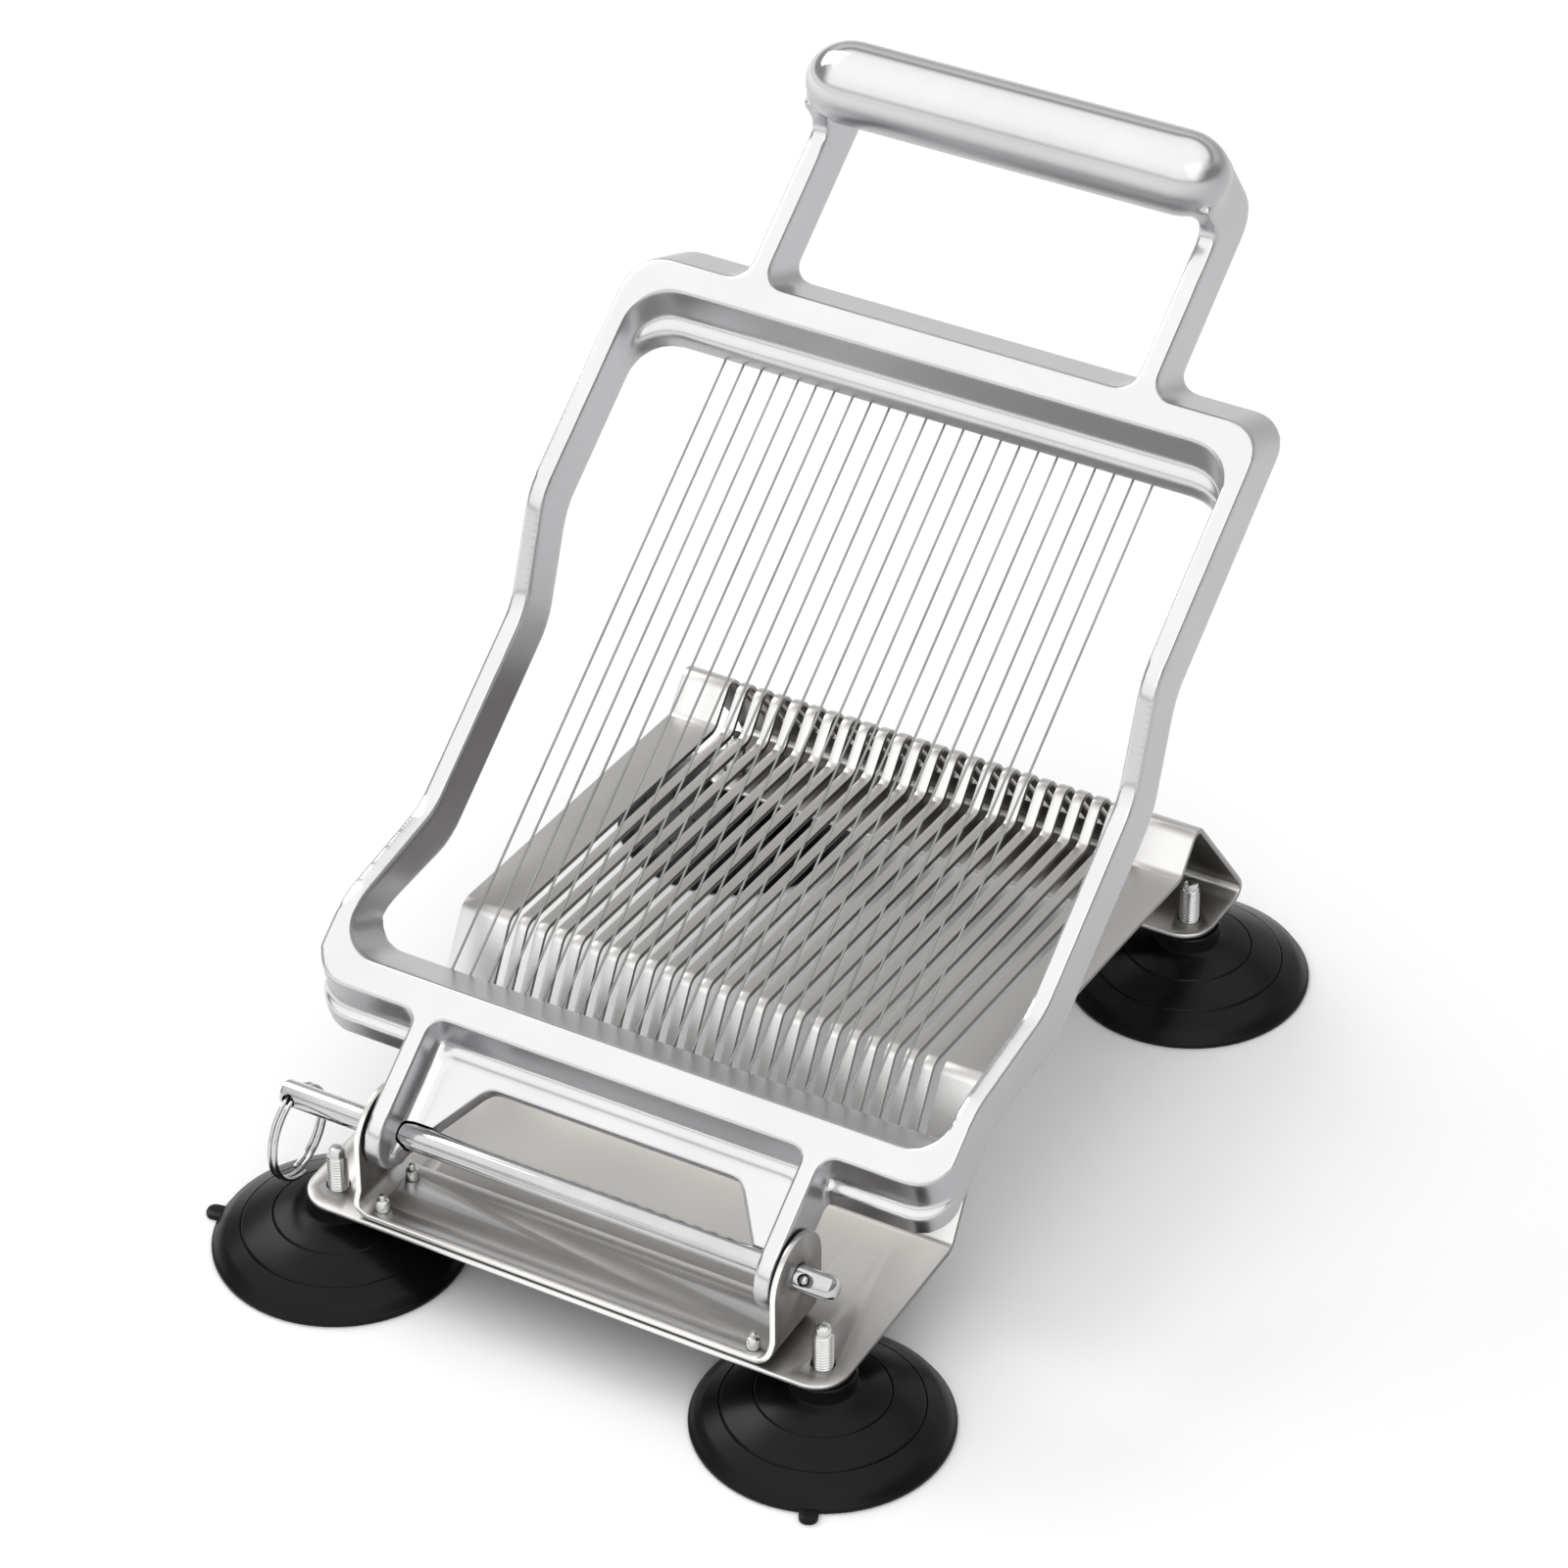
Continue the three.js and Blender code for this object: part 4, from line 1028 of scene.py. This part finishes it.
@dataclass
class SuctionFeet:
    """Four rubber suction cups and the threaded studs that hold them to the base."""

    shelf: Shelf
    pivot: Pivot
    feet: tuple[float, float] = (65, 95.3)
    radius: float = 30.88
    height: float = 16.2
    neck: float = 8
    neck_foot: float = 12
    rim: float = 1.4
    rim_step: float = 0.8
    crown: float = 1.4
    grooves: tuple[float, ...] = (15.9, 23.7)
    groove: float = 0.35
    tab_reach: float = 3.6
    tab_half: float = 2.25
    bearings: tuple[float, ...] = (191, 293, 150, 155.7)
    stud: float = 2.55
    thread_pitch: float = 0.8
    thread_depth: float = 0.42

    def build(self) -> None:
        """Builds one stud and one cup and sets them at the four corners."""
        stud = self.stud_pattern()
        cup = self.cup_pattern()
        names = ("front_left", "front_right", "rear_left", "rear_right")
        signs = ((-1, -1), (1, -1), (-1, 1), (1, 1))
        for name, (x, y), bearing in zip(names, signs, self.bearings):
            place = self.pivot.base() @ moved(x * self.feet[0], y * self.feet[1], 0)
            turn = Matrix.Rotation(math.radians(bearing), 4, "Z")
            foot = smoothed(copied(cup, f"sucker_{name}", place @ turn), 40)
            self.shelf.hand_over(foot, "black_rubber", f"suction_cup_{name}", "base")
            post = smoothed(copied(stud, f"stud_{name}", place), 35)
            self.shelf.hand_over(post, "plated_steel", f"foot_stud_{name}", "base")
        bpy.data.objects.remove(stud)
        bpy.data.objects.remove(cup)

    def crown_height(self, radius: float) -> float:
        """The height of the cup's top at a radius.

        Args:
            radius: The radius, in millimetres.

        Returns:
            The height, in millimetres.
        """
        share = (self.radius - radius) / (self.radius - self.neck)
        rise = self.neck_foot - self.rim - self.rim_step
        return self.rim + self.rim_step + rise * share + self.crown * math.sin(math.pi * share)

    def cup_pattern(self) -> Thing:
        """Spins the cup with its grooves and adds the lifting tab.

        Returns:
            The cup at the origin.
        """
        radius, rim, neck, bore, bore_floor = self.radius, self.rim, self.neck, 2.85, 5.2
        profile = [
            (0, 3.4), (8, 3.1), (15.45, 2.55), (22, 1.5), (27.7, 0), (radius - 0.5, 0), (radius - 0.15, 0.15),
            (radius, 0.5), (radius, rim - 0.3), (radius - 0.25, rim), (radius - self.rim_step, rim + 0.35),
        ]
        stops = [(radius - self.rim_step - 0.5, 0)]
        for middle in sorted(self.grooves, reverse=True):
            stops += [(middle + 3.6, 0), (middle + 0.42, 0), (middle + 0.28, 0), (middle, self.groove),
                      (middle - 0.28, 0), (middle - 0.42, 0)]
        stops += [(12.5, 0), (10, 0), (neck + 0.6, 0)]
        profile += [(stop, self.crown_height(stop) - depth) for stop, depth in stops]
        profile += [
            (neck + 0.15, self.crown_height(neck) + 0.1), (neck, self.neck_foot + 0.9),
            (neck, self.height - 0.4), (neck - 0.4, self.height), (bore, self.height), (bore, bore_floor),
            (0, bore_floor),
        ]
        cup = spun("cup_pattern", profile, 96)
        start, reach, half, tip = radius - 3, radius + self.tab_reach, self.tab_half, 1.9
        corners = [
            Corner(start, -half), Corner(reach, -half, tip), Corner(reach, half, tip), Corner(start, half),
        ]
        tab = eased(prism("tab", Plane.XY, corners, 0.02, rim - 0.02), 0.25, 50, clamp=True)
        return combined(cup, tab, "UNION")

    def stud_pattern(self) -> Thing:
        """Turns the core of a stud with its dog point and winds the thread round it.

        Returns:
            The stud at the origin.
        """
        core, low, top = self.stud - self.thread_depth, 5.5, 27.2
        profile = [
            (0, low), (core, low), (core, top - 0.3), (core - 0.15, top), (1.9, top), (1.9, top + 1),
            (1.75, top + 1.5), (1.3, top + 1.85), (0.6, top + 2), (0, top + 2),
        ]
        shaft = spun("stud_pattern", profile, 24)
        sunk = core - 0.05
        thread = section("thread", self.thread_pitch / 2, 4, (sunk, 0, low + 0.6))
        choose(thread, Pick.POINTS, lambda co: co.x > core + 0.1)
        push(Vector((self.stud - (sunk + self.thread_pitch / 2), 0, 0)) * MM)
        bpy.ops.object.mode_set(mode="OBJECT")
        turns = int((top - low - 1.3) / self.thread_pitch)
        wound(thread, math.tau, self.thread_pitch * 1.02, turns, 24)
        return combined(shaft, thread, "UNION")


@dataclass
class CuttingFrame:
    """The cast frame with its handle, and the wires and clamp screws that it carries."""

    shelf: Shelf
    pivot: Pivot
    half: float = 84.2
    rail: float = 4.9
    top: float = 11
    bottom: float = -4.2
    front: float = 26.5
    rear: float = 221
    middle: float = 120
    front_lean: float = 0.35
    rear_lean: float = 0.63
    window_lean: float = 0.51
    corner: float = 9.5
    ledge_top: float = 2
    ledge_reach: float = 2.6
    ledge_end: float = 28
    ledge_edge_round: float = 1.6
    window_front: float = 34
    window_corners: tuple[float, float] = (9, 10.5)
    window_wall: Pairs = (
        (-6.2, 205), (-1.5, 205.1), (0.6, 205.6), (2.0, 206.7), (2.7, 208.3), (3.0, 210), (13, 215),
    )
    drop: float = 16.4
    crank_radius: float = 14
    crank_shift: float = 3
    cranks: tuple[float, ...] = (47, 74, 131, 155)
    arm_half: float = 54
    arm_thick: float = 4.6
    arm_fillet: float = 4
    shoulder_fillet: float = 4.5
    eye: float = 9.5
    web_top: float = 1
    web_toe: float = -7
    notch_in: float = 20.5
    notch_rear: float = 16.5
    handle_half: float = 54.3
    handle_thick: float = 5
    handle_fillet: float = 5
    grip_radius: float = 10.3
    grip_reach: float = 273
    grip_up: float = 21.5
    grip_half: float = 55.8
    grip_dome: float = 12
    bore: float = 3.6
    across: float = 130
    wire_radius: float = 0.3
    wire_up: float = -4.8
    barrel_reach: float = 215
    barrel_half: float = 1.25
    clamp_reach: float = 32
    voxel: float = 0.5
    polish: int = 28
    most_triangles: int = 180000

    def build(self) -> None:
        """Builds the casting, the wires and the clamp screws, and hands them over."""
        self.casting()
        self.wires()
        self.clamps()

    def plan(self, half: float, front: float, rear: float, corners: tuple[float, float]) -> list[Corner]:
        """The corners of a plan outline, with the radii of its front and rear ones."""
        return [Corner(-half, front, corners[0]), Corner(half, front, corners[0]),
                Corner(half, rear, corners[1]), Corner(-half, rear, corners[1])]

    def cross_bars(self) -> Thing:
        """The front and rear bars with the ends of the rails, opened between them.

        Returns:
            Both bars, as one object.
        """
        rise = self.top - self.bottom
        front, rear = self.front_lean * rise, self.rear_lean * rise
        plan = self.plan(self.half, self.front - front, self.rear + rear, (self.corner, self.corner))
        body = leaning("bars", plan, lambda co: front if co.y < self.middle else -rear, self.bottom, self.top)
        fall = self.front_lean * (self.ledge_top - self.bottom)
        plan = self.plan(self.half, self.ledge_edge() - fall, self.ledge_end, (self.corner, 0))
        ledge = leaning("ledge", plan, lambda co: fall if co.y < self.ledge_end - 0.1 else 0,
                        self.bottom, self.ledge_top)
        eased(ledge, self.ledge_edge_round, 60, 5, clamp=True)
        for cutter in (*self.windows(), *self.gaps(), self.seats()):
            combined(body, cutter)
        return joined("bars", [body, ledge])

    def windows(self) -> list[Thing]:
        """The window's layers as cutters, from the lowest up.

        Returns:
            The cutters.
        """
        cutters = []
        for (low, rear), (high, rear_top) in zip(self.window_wall, self.window_wall[1:]):
            lean, back = -self.window_lean * (high - low), rear_top - rear
            front = self.window_front + self.window_lean * (self.top - low)
            plan = self.plan(self.half - self.rail, front, rear, self.window_corners)
            cutters.append(
                leaning("window", plan, lambda co: lean if co.y < self.middle else back, low, high + 0.01)
            )
        return cutters

    def gaps(self) -> list[Thing]:
        """The space between the bars that the cranked rails cross, as cutters, with the curves beside it.

        Returns:
            The cutters.
        """
        side, over, fall, slip = self.half + 2, self.top + 3, self.top - self.drop, self.crank_shift
        first, second, third, fourth = self.cranks
        outlines = [rectangle(first, fourth, self.bottom - 2, self.top + 2)]
        for end, foot, away in ((first, second + slip, -8), (fourth, third, 8)):
            outlines.append([
                Corner(end + away, over), Corner(end + away, self.top),
                Corner(end, self.top, self.crank_radius), Corner(foot, fall), Corner(foot, over),
            ])
        return [prism("gap", Plane.YZ, corners, -side, side) for corners in outlines]

    def seats(self) -> Thing:
        """The pockets of the barrels and the tapped holes of the clamp screws, as cutters.

        Returns:
            The cutters, as one object.
        """
        cutters, reach, wide, long = [], self.barrel_reach, 1.3, self.barrel_half + 0.3
        for x in spread(WIRES, WIRE_PITCH):
            corners = rectangle(x - wide, x + wide, reach - long, reach + long)
            cutters.append(prism("pocket", Plane.XY, corners, self.bottom - 2, self.wire_up + wide))
        for x in spread(CLAMPS, 2 * WIRE_PITCH):
            cutters.append(rod((x, self.clamp_reach, -2.4), 2.2, 8, 24))
        return joined("seats", cutters)

    def side_rail(self, side: int) -> Thing:
        """One rail, cranked down between the bars.

        Args:
            side: 1 for the right rail, -1 for the left.

        Returns:
            The rail.
        """
        low, high, radius, drop, shift = self.bottom, self.top, self.crank_radius, self.drop, self.crank_shift
        first, second, third, fourth = self.cranks
        corners = [
            Corner(first - radius, high), Corner(first - radius, low), Corner(first + shift, low, radius),
            Corner(second, low - drop, radius), Corner(third + shift, low - drop, radius),
            Corner(fourth + shift, low, radius), Corner(fourth + radius, low), Corner(fourth + radius, high),
            Corner(fourth, high, radius), Corner(third, high - drop, radius),
            Corner(second + shift, high - drop, radius), Corner(first, high, radius),
        ]
        inner, outer = side * (self.half - self.rail), side * self.half
        return prism("rail", Plane.YZ, corners, min(inner, outer), max(inner, outer))

    def pivot_arms(self) -> Thing:
        """Both pivot arms, run into the front bar by the fillets of one plan and rounded at the eyes.

        Returns:
            The arms, as one solid.
        """
        out, inner, tip, rear = self.arm_half, self.arm_half - self.arm_thick, -self.eye - 2, self.front + 2.5
        far, centre, count = out + 9, self.top - self.eye, 30
        arms = prism("arms", Plane.XY, even([
            Corner(-far, rear), Corner(-far, self.front), Corner(-out, self.front, self.shoulder_fillet),
            Corner(-out, tip), Corner(-inner, tip), Corner(-inner, self.front, self.arm_fillet),
        ]), self.bottom, self.top)
        under = math.asin((self.bottom - centre) / self.eye) + math.tau
        side = [Corner(rear + 2, self.bottom), Corner(rear + 2, self.top + 1), Corner(0, self.top + 1)]
        for index in range(count + 1):
            angle = math.pi / 2 + (under - math.pi / 2) * index / count
            side.append(Corner(self.eye * math.cos(angle), centre + self.eye * math.sin(angle)))
        return combined(arms, prism("eye_side", Plane.YZ, side, -far - 1, far + 1), "INTERSECT")

    def web(self) -> Thing:
        """The web between the arms, with its notch at the front.

        Returns:
            The web.
        """
        toe, notch = self.arm_half - self.arm_thick, self.arm_half - self.notch_in
        half = self.arm_half - self.arm_thick / 2
        return prism("web", Plane.XY, even([
            Corner(-half, self.front + 1.5), Corner(-half, self.web_toe), Corner(-toe, self.web_toe),
            Corner(-notch, self.notch_rear, 4),
        ]), self.bottom, self.web_top)

    def bead(self) -> Thing:
        """The raised bead that runs round the web at the foot of the arms and the front bar.

        Returns:
            The bead.
        """
        inner, tip = self.arm_half - self.arm_thick, self.web_toe + 0.5
        near, out = inner - 1.8, inner + 1
        return prism("bead", Plane.XY, even([
            Corner(-out, self.front + 1.5), Corner(-out, tip), Corner(-near, tip),
            Corner(-near, self.ledge_edge(), 3),
        ]), self.bottom, self.ledge_top)

    def ledge_edge(self) -> float:
        """How far from the pin the top of the ledge starts."""
        return self.front - self.front_lean * (self.top - self.ledge_top) - self.ledge_reach

    def handle_arms(self) -> Thing:
        """Both handle arms, run into the leaning back of the rear bar by the fillets of one plan.

        Returns:
            The arms, as one solid.
        """
        out, inner, end = self.handle_half, self.handle_half - self.handle_thick, 268
        lean = self.rear_lean * (self.top - self.bottom)
        edge, far = self.rear + lean, self.handle_half + 10
        plan = even([
            Corner(-far, edge - 2.5), Corner(-far, edge), Corner(-out, edge, self.handle_fillet),
            Corner(-out, end), Corner(-inner, end), Corner(-inner, edge, self.handle_fillet),
        ])
        return leaning("handle_arms", plan, lambda co: -lean if co.y < end - 18 else 0, self.bottom, self.top)

    def pillar(self, side: int) -> Thing:
        """The end of one handle arm, with its round heel and the pillar that carries the grip.

        Args:
            side: 1 for the right arm, -1 for the left.

        Returns:
            The end of the arm.
        """
        start, foot, end = 250, 264.5, 279
        corners = [
            Corner(start, self.bottom), Corner(end, self.bottom, 7.5), Corner(end, self.grip_up),
            Corner(foot, self.grip_up), Corner(foot, self.top, 4), Corner(start, self.top),
        ]
        inner, outer = side * (self.handle_half - self.handle_thick), side * self.handle_half
        return prism("pillar", Plane.YZ, corners, min(inner, outer), max(inner, outer))

    def grip(self) -> Thing:
        """The round grip with its domed ends.

        Returns:
            The grip in its place on the frame.
        """
        steps = 10
        angles = [math.pi / 2 * index / steps for index in range(steps + 1)]
        dome = [(self.grip_radius * math.sin(angle), self.grip_half - self.grip_dome * (1 - math.cos(angle)))
                for angle in angles]
        obj = spun("grip", [(radius, -height) for radius, height in dome] + dome[::-1], 64)
        return settled(obj, moved(0, self.grip_reach, self.grip_up) @ Matrix.Rotation(math.pi / 2, 4, "Y"))

    def casting(self) -> None:
        """Joins the parts of the casting, softens them as cast metal and bores it for the pin."""
        parts = [self.cross_bars(), self.pivot_arms(), self.web(), self.bead(), self.handle_arms()]
        parts.append(self.grip())
        for side in (-1, 1):
            parts += [self.side_rail(side), self.pillar(side)]
        obj = joined("cast_frame", parts)
        face_out(obj)
        fitted(obj, "REMESH", mode="VOXEL", voxel_size=self.voxel * MM, adaptivity=0)
        fitted(obj, "SMOOTH", factor=0.5, iterations=self.polish)
        ratio = min(1, self.most_triangles / (2 * len(obj.data.polygons)))
        fitted(obj, "DECIMATE", decimate_type="COLLAPSE", ratio=ratio)
        combined(obj, rod((0, 0, 0), self.bore, self.across, 48, "X"))
        smoothed(obj, 60)
        fitted(obj, "WEIGHTED_NORMAL", mode="FACE_AREA", weight=50, keep_sharp=True)
        settled(obj, self.pivot.frame())
        self.shelf.hand_over(obj, "polished_aluminium", "cutting_frame", "frame")

    def wires(self) -> None:
        """Turns one wire with the barrel on its end and sets all of them."""
        start, end = self.barrel_reach - self.barrel_half, self.barrel_reach + self.barrel_half
        tail = self.clamp_reach - 6
        profile = [
            (0, tail), (0.24, tail), (self.wire_radius, tail + 0.1), (self.wire_radius, start), (0.85, start),
            (1, start + 0.2), (1, end - 0.2), (0.8, end), (0, end),
        ]
        turn = Matrix.Rotation(-math.pi / 2, 4, "X")
        places = [self.pivot.frame() @ moved(x, 0, self.wire_up) @ turn for x in spread(WIRES, WIRE_PITCH)]
        pattern = spun("wire_pattern", profile, 12)
        self.shelf.set_out(pattern, "wire", places, "wire_steel", "cutting_wire", "frame")

    def clamps(self) -> None:
        """Shapes one flanged hexagon screw and sets all that clamp the wires."""
        seat = self.wire_up - self.wire_radius - 0.3
        low, high, chamfer = seat - 3.2, seat - 0.4, 0.3
        rod((0, 0, (low + high) / 2), 3.1, high - low, 6)
        head = started("clamp_pattern")
        choose(head, Pick.FACES, lambda co: same(co.z, low))
        bpy.ops.mesh.inset(thickness=0.35 * MM)
        choose(head, Pick.POINTS, lambda co: same(co.z, low) and math.hypot(co.x, co.y) > 3)
        push(Vector((0, 0, chamfer)) * MM)
        face_out(head)
        profile = [
            (0, seat - 0.8), (3.5, seat - 0.8), (3.7, seat - 0.6), (3.7, seat - 0.15), (3.55, seat), (1.9, seat),
            (1.9, 1.3), (0, 1.3),
        ]
        combined(head, spun("shank", profile, 32), "UNION")
        places = [self.pivot.frame() @ moved(x, self.clamp_reach, 0) for x in spread(CLAMPS, 2 * WIRE_PITCH)]
        self.shelf.set_out(head, "clamp_screw", places, "plated_steel", "wire_clamp", "frame")


@dataclass
class HingePin:
    """The pull-out pin with its split ring, its detent ball and the spring behind the ball."""

    shelf: Shelf
    pivot: Pivot
    radius: float = 3.15
    left: float = -82
    right: float = 66
    ring_at: float = -79.2
    ring_hole: float = 1.7
    ring_radius: float = 11.5
    ring_wire: float = 1.1
    ring_pitch: float = 1.54
    ring_drop: float = 11.28
    ball_at: float = 58.5
    ball_radius: float = 1.2
    ball_seat: float = 2.45
    ball_bearing: float = 140

    def build(self) -> None:
        """Builds the pin, the ring and the ball, and coats the hidden spring."""
        self.shaft()
        self.ring()
        self.ball()
        self.shelf.coat(bpy.data.objects["detent_spring"], "wire_steel")

    def ball_turn(self) -> Matrix:
        """The turn and move that take the Z axis to the ball's own radius of the pin."""
        return moved(self.ball_at, 0, 0) @ Matrix.Rotation(math.radians(self.ball_bearing - 90), 4, "X")

    def shaft(self) -> None:
        """Turns the pin with its chamfers, and drills it for the ring and the ball."""
        radius, left, right = self.radius, self.left, self.right
        profile = [
            (0, left + 0.25), (1.9, left), (radius - 0.8, left), (radius - 0.2, left + 0.35), (radius, left + 0.9),
            (radius, right - 1.5), (radius - 0.25, right - 1), (radius - 1.2, right - 0.1), (radius - 1.5, right),
            (0, right),
        ]
        obj = settled(spun("pin_shaft", profile, 64), Matrix.Rotation(math.pi / 2, 4, "Y"))
        combined(obj, rod((self.ring_at, 0, 0), self.ring_hole, 12, 32, "Y"))
        combined(obj, settled(rod((0, 0, 1.85), self.ball_radius + 0.3, 8, 24), self.ball_turn()))
        eased(obj, 0.15, 40)
        smoothed(settled(obj, self.pivot.pin()), 35)
        self.shelf.hand_over(obj, "polished_steel", "hinge_pin", "pin")

    def ring(self) -> None:
        """Winds the split ring as two turns of one wire and closes its ends."""
        obj = section("split_ring", self.ring_wire / 2, 16, (self.ring_radius, 0, 0))
        bpy.ops.object.mode_set(mode="OBJECT")
        wound(obj, math.tau * 2, self.ring_pitch * 2, 1, 144)
        turn = moved(self.ring_at, 0, -self.ring_drop) @ Matrix.Rotation(math.pi / 2, 4, "Y")
        settled(obj, self.pivot.pin() @ turn @ moved(0, 0, -self.ring_pitch))
        eased(obj, 0.2, 60, clamp=True)
        smoothed(obj, 45)
        self.shelf.hand_over(obj, "polished_steel", "pin_ring", "ring")

    def ball(self) -> None:
        """Rounds a cube into the detent ball."""
        release()
        bpy.ops.mesh.primitive_cube_add(size=self.ball_radius * MM, location=(0, 0, 0))
        obj = started("detent_bearing")
        bpy.ops.mesh.subdivide(number_cuts=7)
        bpy.ops.transform.tosphere(value=1)
        bpy.ops.object.mode_set(mode="OBJECT")
        reach = max(point.co.length for point in obj.data.vertices) / MM
        scale = Matrix.Scale(self.ball_radius / reach, 4)
        settled(obj, self.pivot.pin() @ self.ball_turn() @ moved(0, 0, self.ball_seat) @ scale)
        smoothed(obj, 60)
        self.shelf.hand_over(obj, "polished_steel", "detent_ball", "ball")


@dataclass(frozen=True)
class Lamp:
    """One soft lamp: its name, power, size and place in metres."""

    name: str
    energy: float
    size: float
    place: Triple


@dataclass
class Studio:
    """The pale floor, the soft light and the camera of the photograph."""

    shift: Vector
    eye: Triple = (0.53106, -0.95471, 0.89116)
    pitch: float = 36.03
    yaw: float = 28.99
    focal_pixels: float = 5872.5
    photo_width: float = 1600
    sensor: float = 36
    floor_size: float = 40
    floor_grey: float = 0.96
    lamps: tuple[Lamp, ...] = (
        Lamp("key_light", 8, 0.9, (-1.2, 0.35, 1.2)), Lamp("fill_light", 1, 1.4, (1.1, -0.9, 1.3)),
    )
    aim: Triple = (0, 0, 0.08)
    front_bands: Pairs = ((0.0, 0.95), (0.05, 0.95), (0.11, 0.60), (0.25, 1.1), (0.68, 1.25), (1.0, 1.25))
    back_bands: Pairs = (
        (0.0, 0.95), (0.05, 0.95), (0.10, 0.35), (0.20, 0.60), (0.50, 0.75), (0.64, 0.28), (0.77, 1.1),
        (1.0, 1.25),
    )
    side_bands: Pairs = (
        (0.0, 0.95), (0.05, 0.95), (0.10, 0.34), (0.30, 0.28), (0.50, 0.30), (0.66, 0.60), (1.0, 1.25),
    )
    back_share: tuple[float, float] = (-0.3, 0.3)
    side_share: tuple[float, float] = (0.62, 0.88)

    def camera(self) -> None:
        """Sets the camera where the photograph was taken from."""
        data = bpy.data.cameras.new("studio_camera")
        data.sensor_width = self.sensor
        data.lens = self.focal_pixels / self.photo_width * self.sensor
        data.clip_end = 10
        obj = bpy.data.objects.new("studio_camera", data)
        obj.location = Vector(self.eye) + self.shift
        obj.rotation_euler = (math.radians(90 - self.pitch), 0, math.radians(self.yaw))
        bpy.context.scene.collection.objects.link(obj)
        bpy.context.scene.camera = obj

    def floor(self) -> None:
        """Lays a pale floor, which keeps the shadow."""
        release()
        bpy.ops.mesh.primitive_plane_add(size=self.floor_size, location=(0, 0, 0))
        obj = bpy.context.object
        obj.name = "studio_floor"
        material = bpy.data.materials.new("studio_paper")
        material.use_nodes = True
        shader = material.node_tree.nodes["Principled BSDF"]
        shader.inputs["Base Color"].default_value = (self.floor_grey, self.floor_grey, self.floor_grey, 1)
        shader.inputs["Roughness"].default_value = 1
        shader.inputs["Specular IOR Level"].default_value = 0
        obj.data.materials.append(material)

    def hang(self, lamp: Lamp) -> None:
        """Hangs one lamp and points it at the board.

        Args:
            lamp: Its size, place and strength.
        """
        data = bpy.data.lights.new(lamp.name, "AREA")
        data.energy = lamp.energy
        data.size = lamp.size
        obj = bpy.data.objects.new(lamp.name, data)
        obj.location = lamp.place
        obj.rotation_euler = (Vector(self.aim) - Vector(lamp.place)).to_track_quat("-Z", "Y").to_euler()
        bpy.context.scene.collection.objects.link(obj)

    def ramp(
        self, tree: bpy.types.NodeTree, height: bpy.types.NodeSocket, bands: Pairs,
    ) -> bpy.types.NodeSocket:
        """Makes a grey ramp by height.

        Args:
            tree: The nodes of the world.
            height: The height on the dome.
            bands: Each stop's height and its grey.

        Returns:
            The grey.
        """
        ramp = tree.nodes.new("ShaderNodeValToRGB")
        stops = ramp.color_ramp.elements
        for index, (place, grey) in enumerate(bands):
            element = stops[index] if index < 2 else stops.new(place)
            element.position = place
            element.color = (grey, grey, grey, 1)
        tree.links.new(height, ramp.inputs["Fac"])
        return ramp.outputs["Color"]

    def world(self) -> None:
        """Puts the board under a dome: bright overhead, softer at the back, darker at both sides."""
        world = bpy.data.worlds.new("studio_world")
        world.use_nodes = True
        tree = world.node_tree
        nodes, links = tree.nodes, tree.links
        split = nodes.new("ShaderNodeSeparateXYZ")
        links.new(nodes.new("ShaderNodeTexCoord").outputs["Generated"], split.inputs["Vector"])
        aside = nodes.new("ShaderNodeMath")
        aside.operation = "ABSOLUTE"
        links.new(split.outputs["X"], aside.inputs[0])
        height = split.outputs["Z"]
        colour = self.ramp(tree, height, self.front_bands)
        for bands, source, (low, high) in (
            (self.back_bands, split.outputs["Y"], self.back_share),
            (self.side_bands, aside.outputs["Value"], self.side_share),
        ):
            share = nodes.new("ShaderNodeMapRange")
            share.interpolation_type = "SMOOTHSTEP"
            share.inputs["From Min"].default_value = low
            share.inputs["From Max"].default_value = high
            links.new(source, share.inputs["Value"])
            blend = nodes.new("ShaderNodeMix")
            blend.data_type = "RGBA"
            first, second = [socket for socket in blend.inputs if socket.type == "RGBA"]
            links.new(share.outputs["Result"], blend.inputs["Factor"])
            links.new(colour, first)
            links.new(self.ramp(tree, height, bands), second)
            colour = next(socket for socket in blend.outputs if socket.type == "RGBA")
        links.new(colour, nodes["Background"].inputs["Color"])
        bpy.context.scene.world = world

    def build(self) -> None:
        """Sets up the whole studio."""
        self.camera()
        self.floor()
        for lamp in self.lamps:
            self.hang(lamp)
        self.world()
        bpy.context.scene.view_settings.view_transform = "Standard"


def main() -> None:
    """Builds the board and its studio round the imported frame."""
    logging.basicConfig(level=logging.INFO, format="%(name)s %(message)s")
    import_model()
    low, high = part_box("base_plate")
    front = SheetBase.path[0][0] * MM
    shift = Vector(((low[0] + high[0]) / 2, low[1] - front, 0))
    release()
    shelf = Shelf()
    pivot = Pivot(shift)
    Studio(shift).build()
    SheetBase(shelf, pivot).build()
    SuctionFeet(shelf, pivot).build()
    CuttingFrame(shelf, pivot).build()
    HingePin(shelf, pivot).build()
    release()


if __name__ == "__main__":
    main()
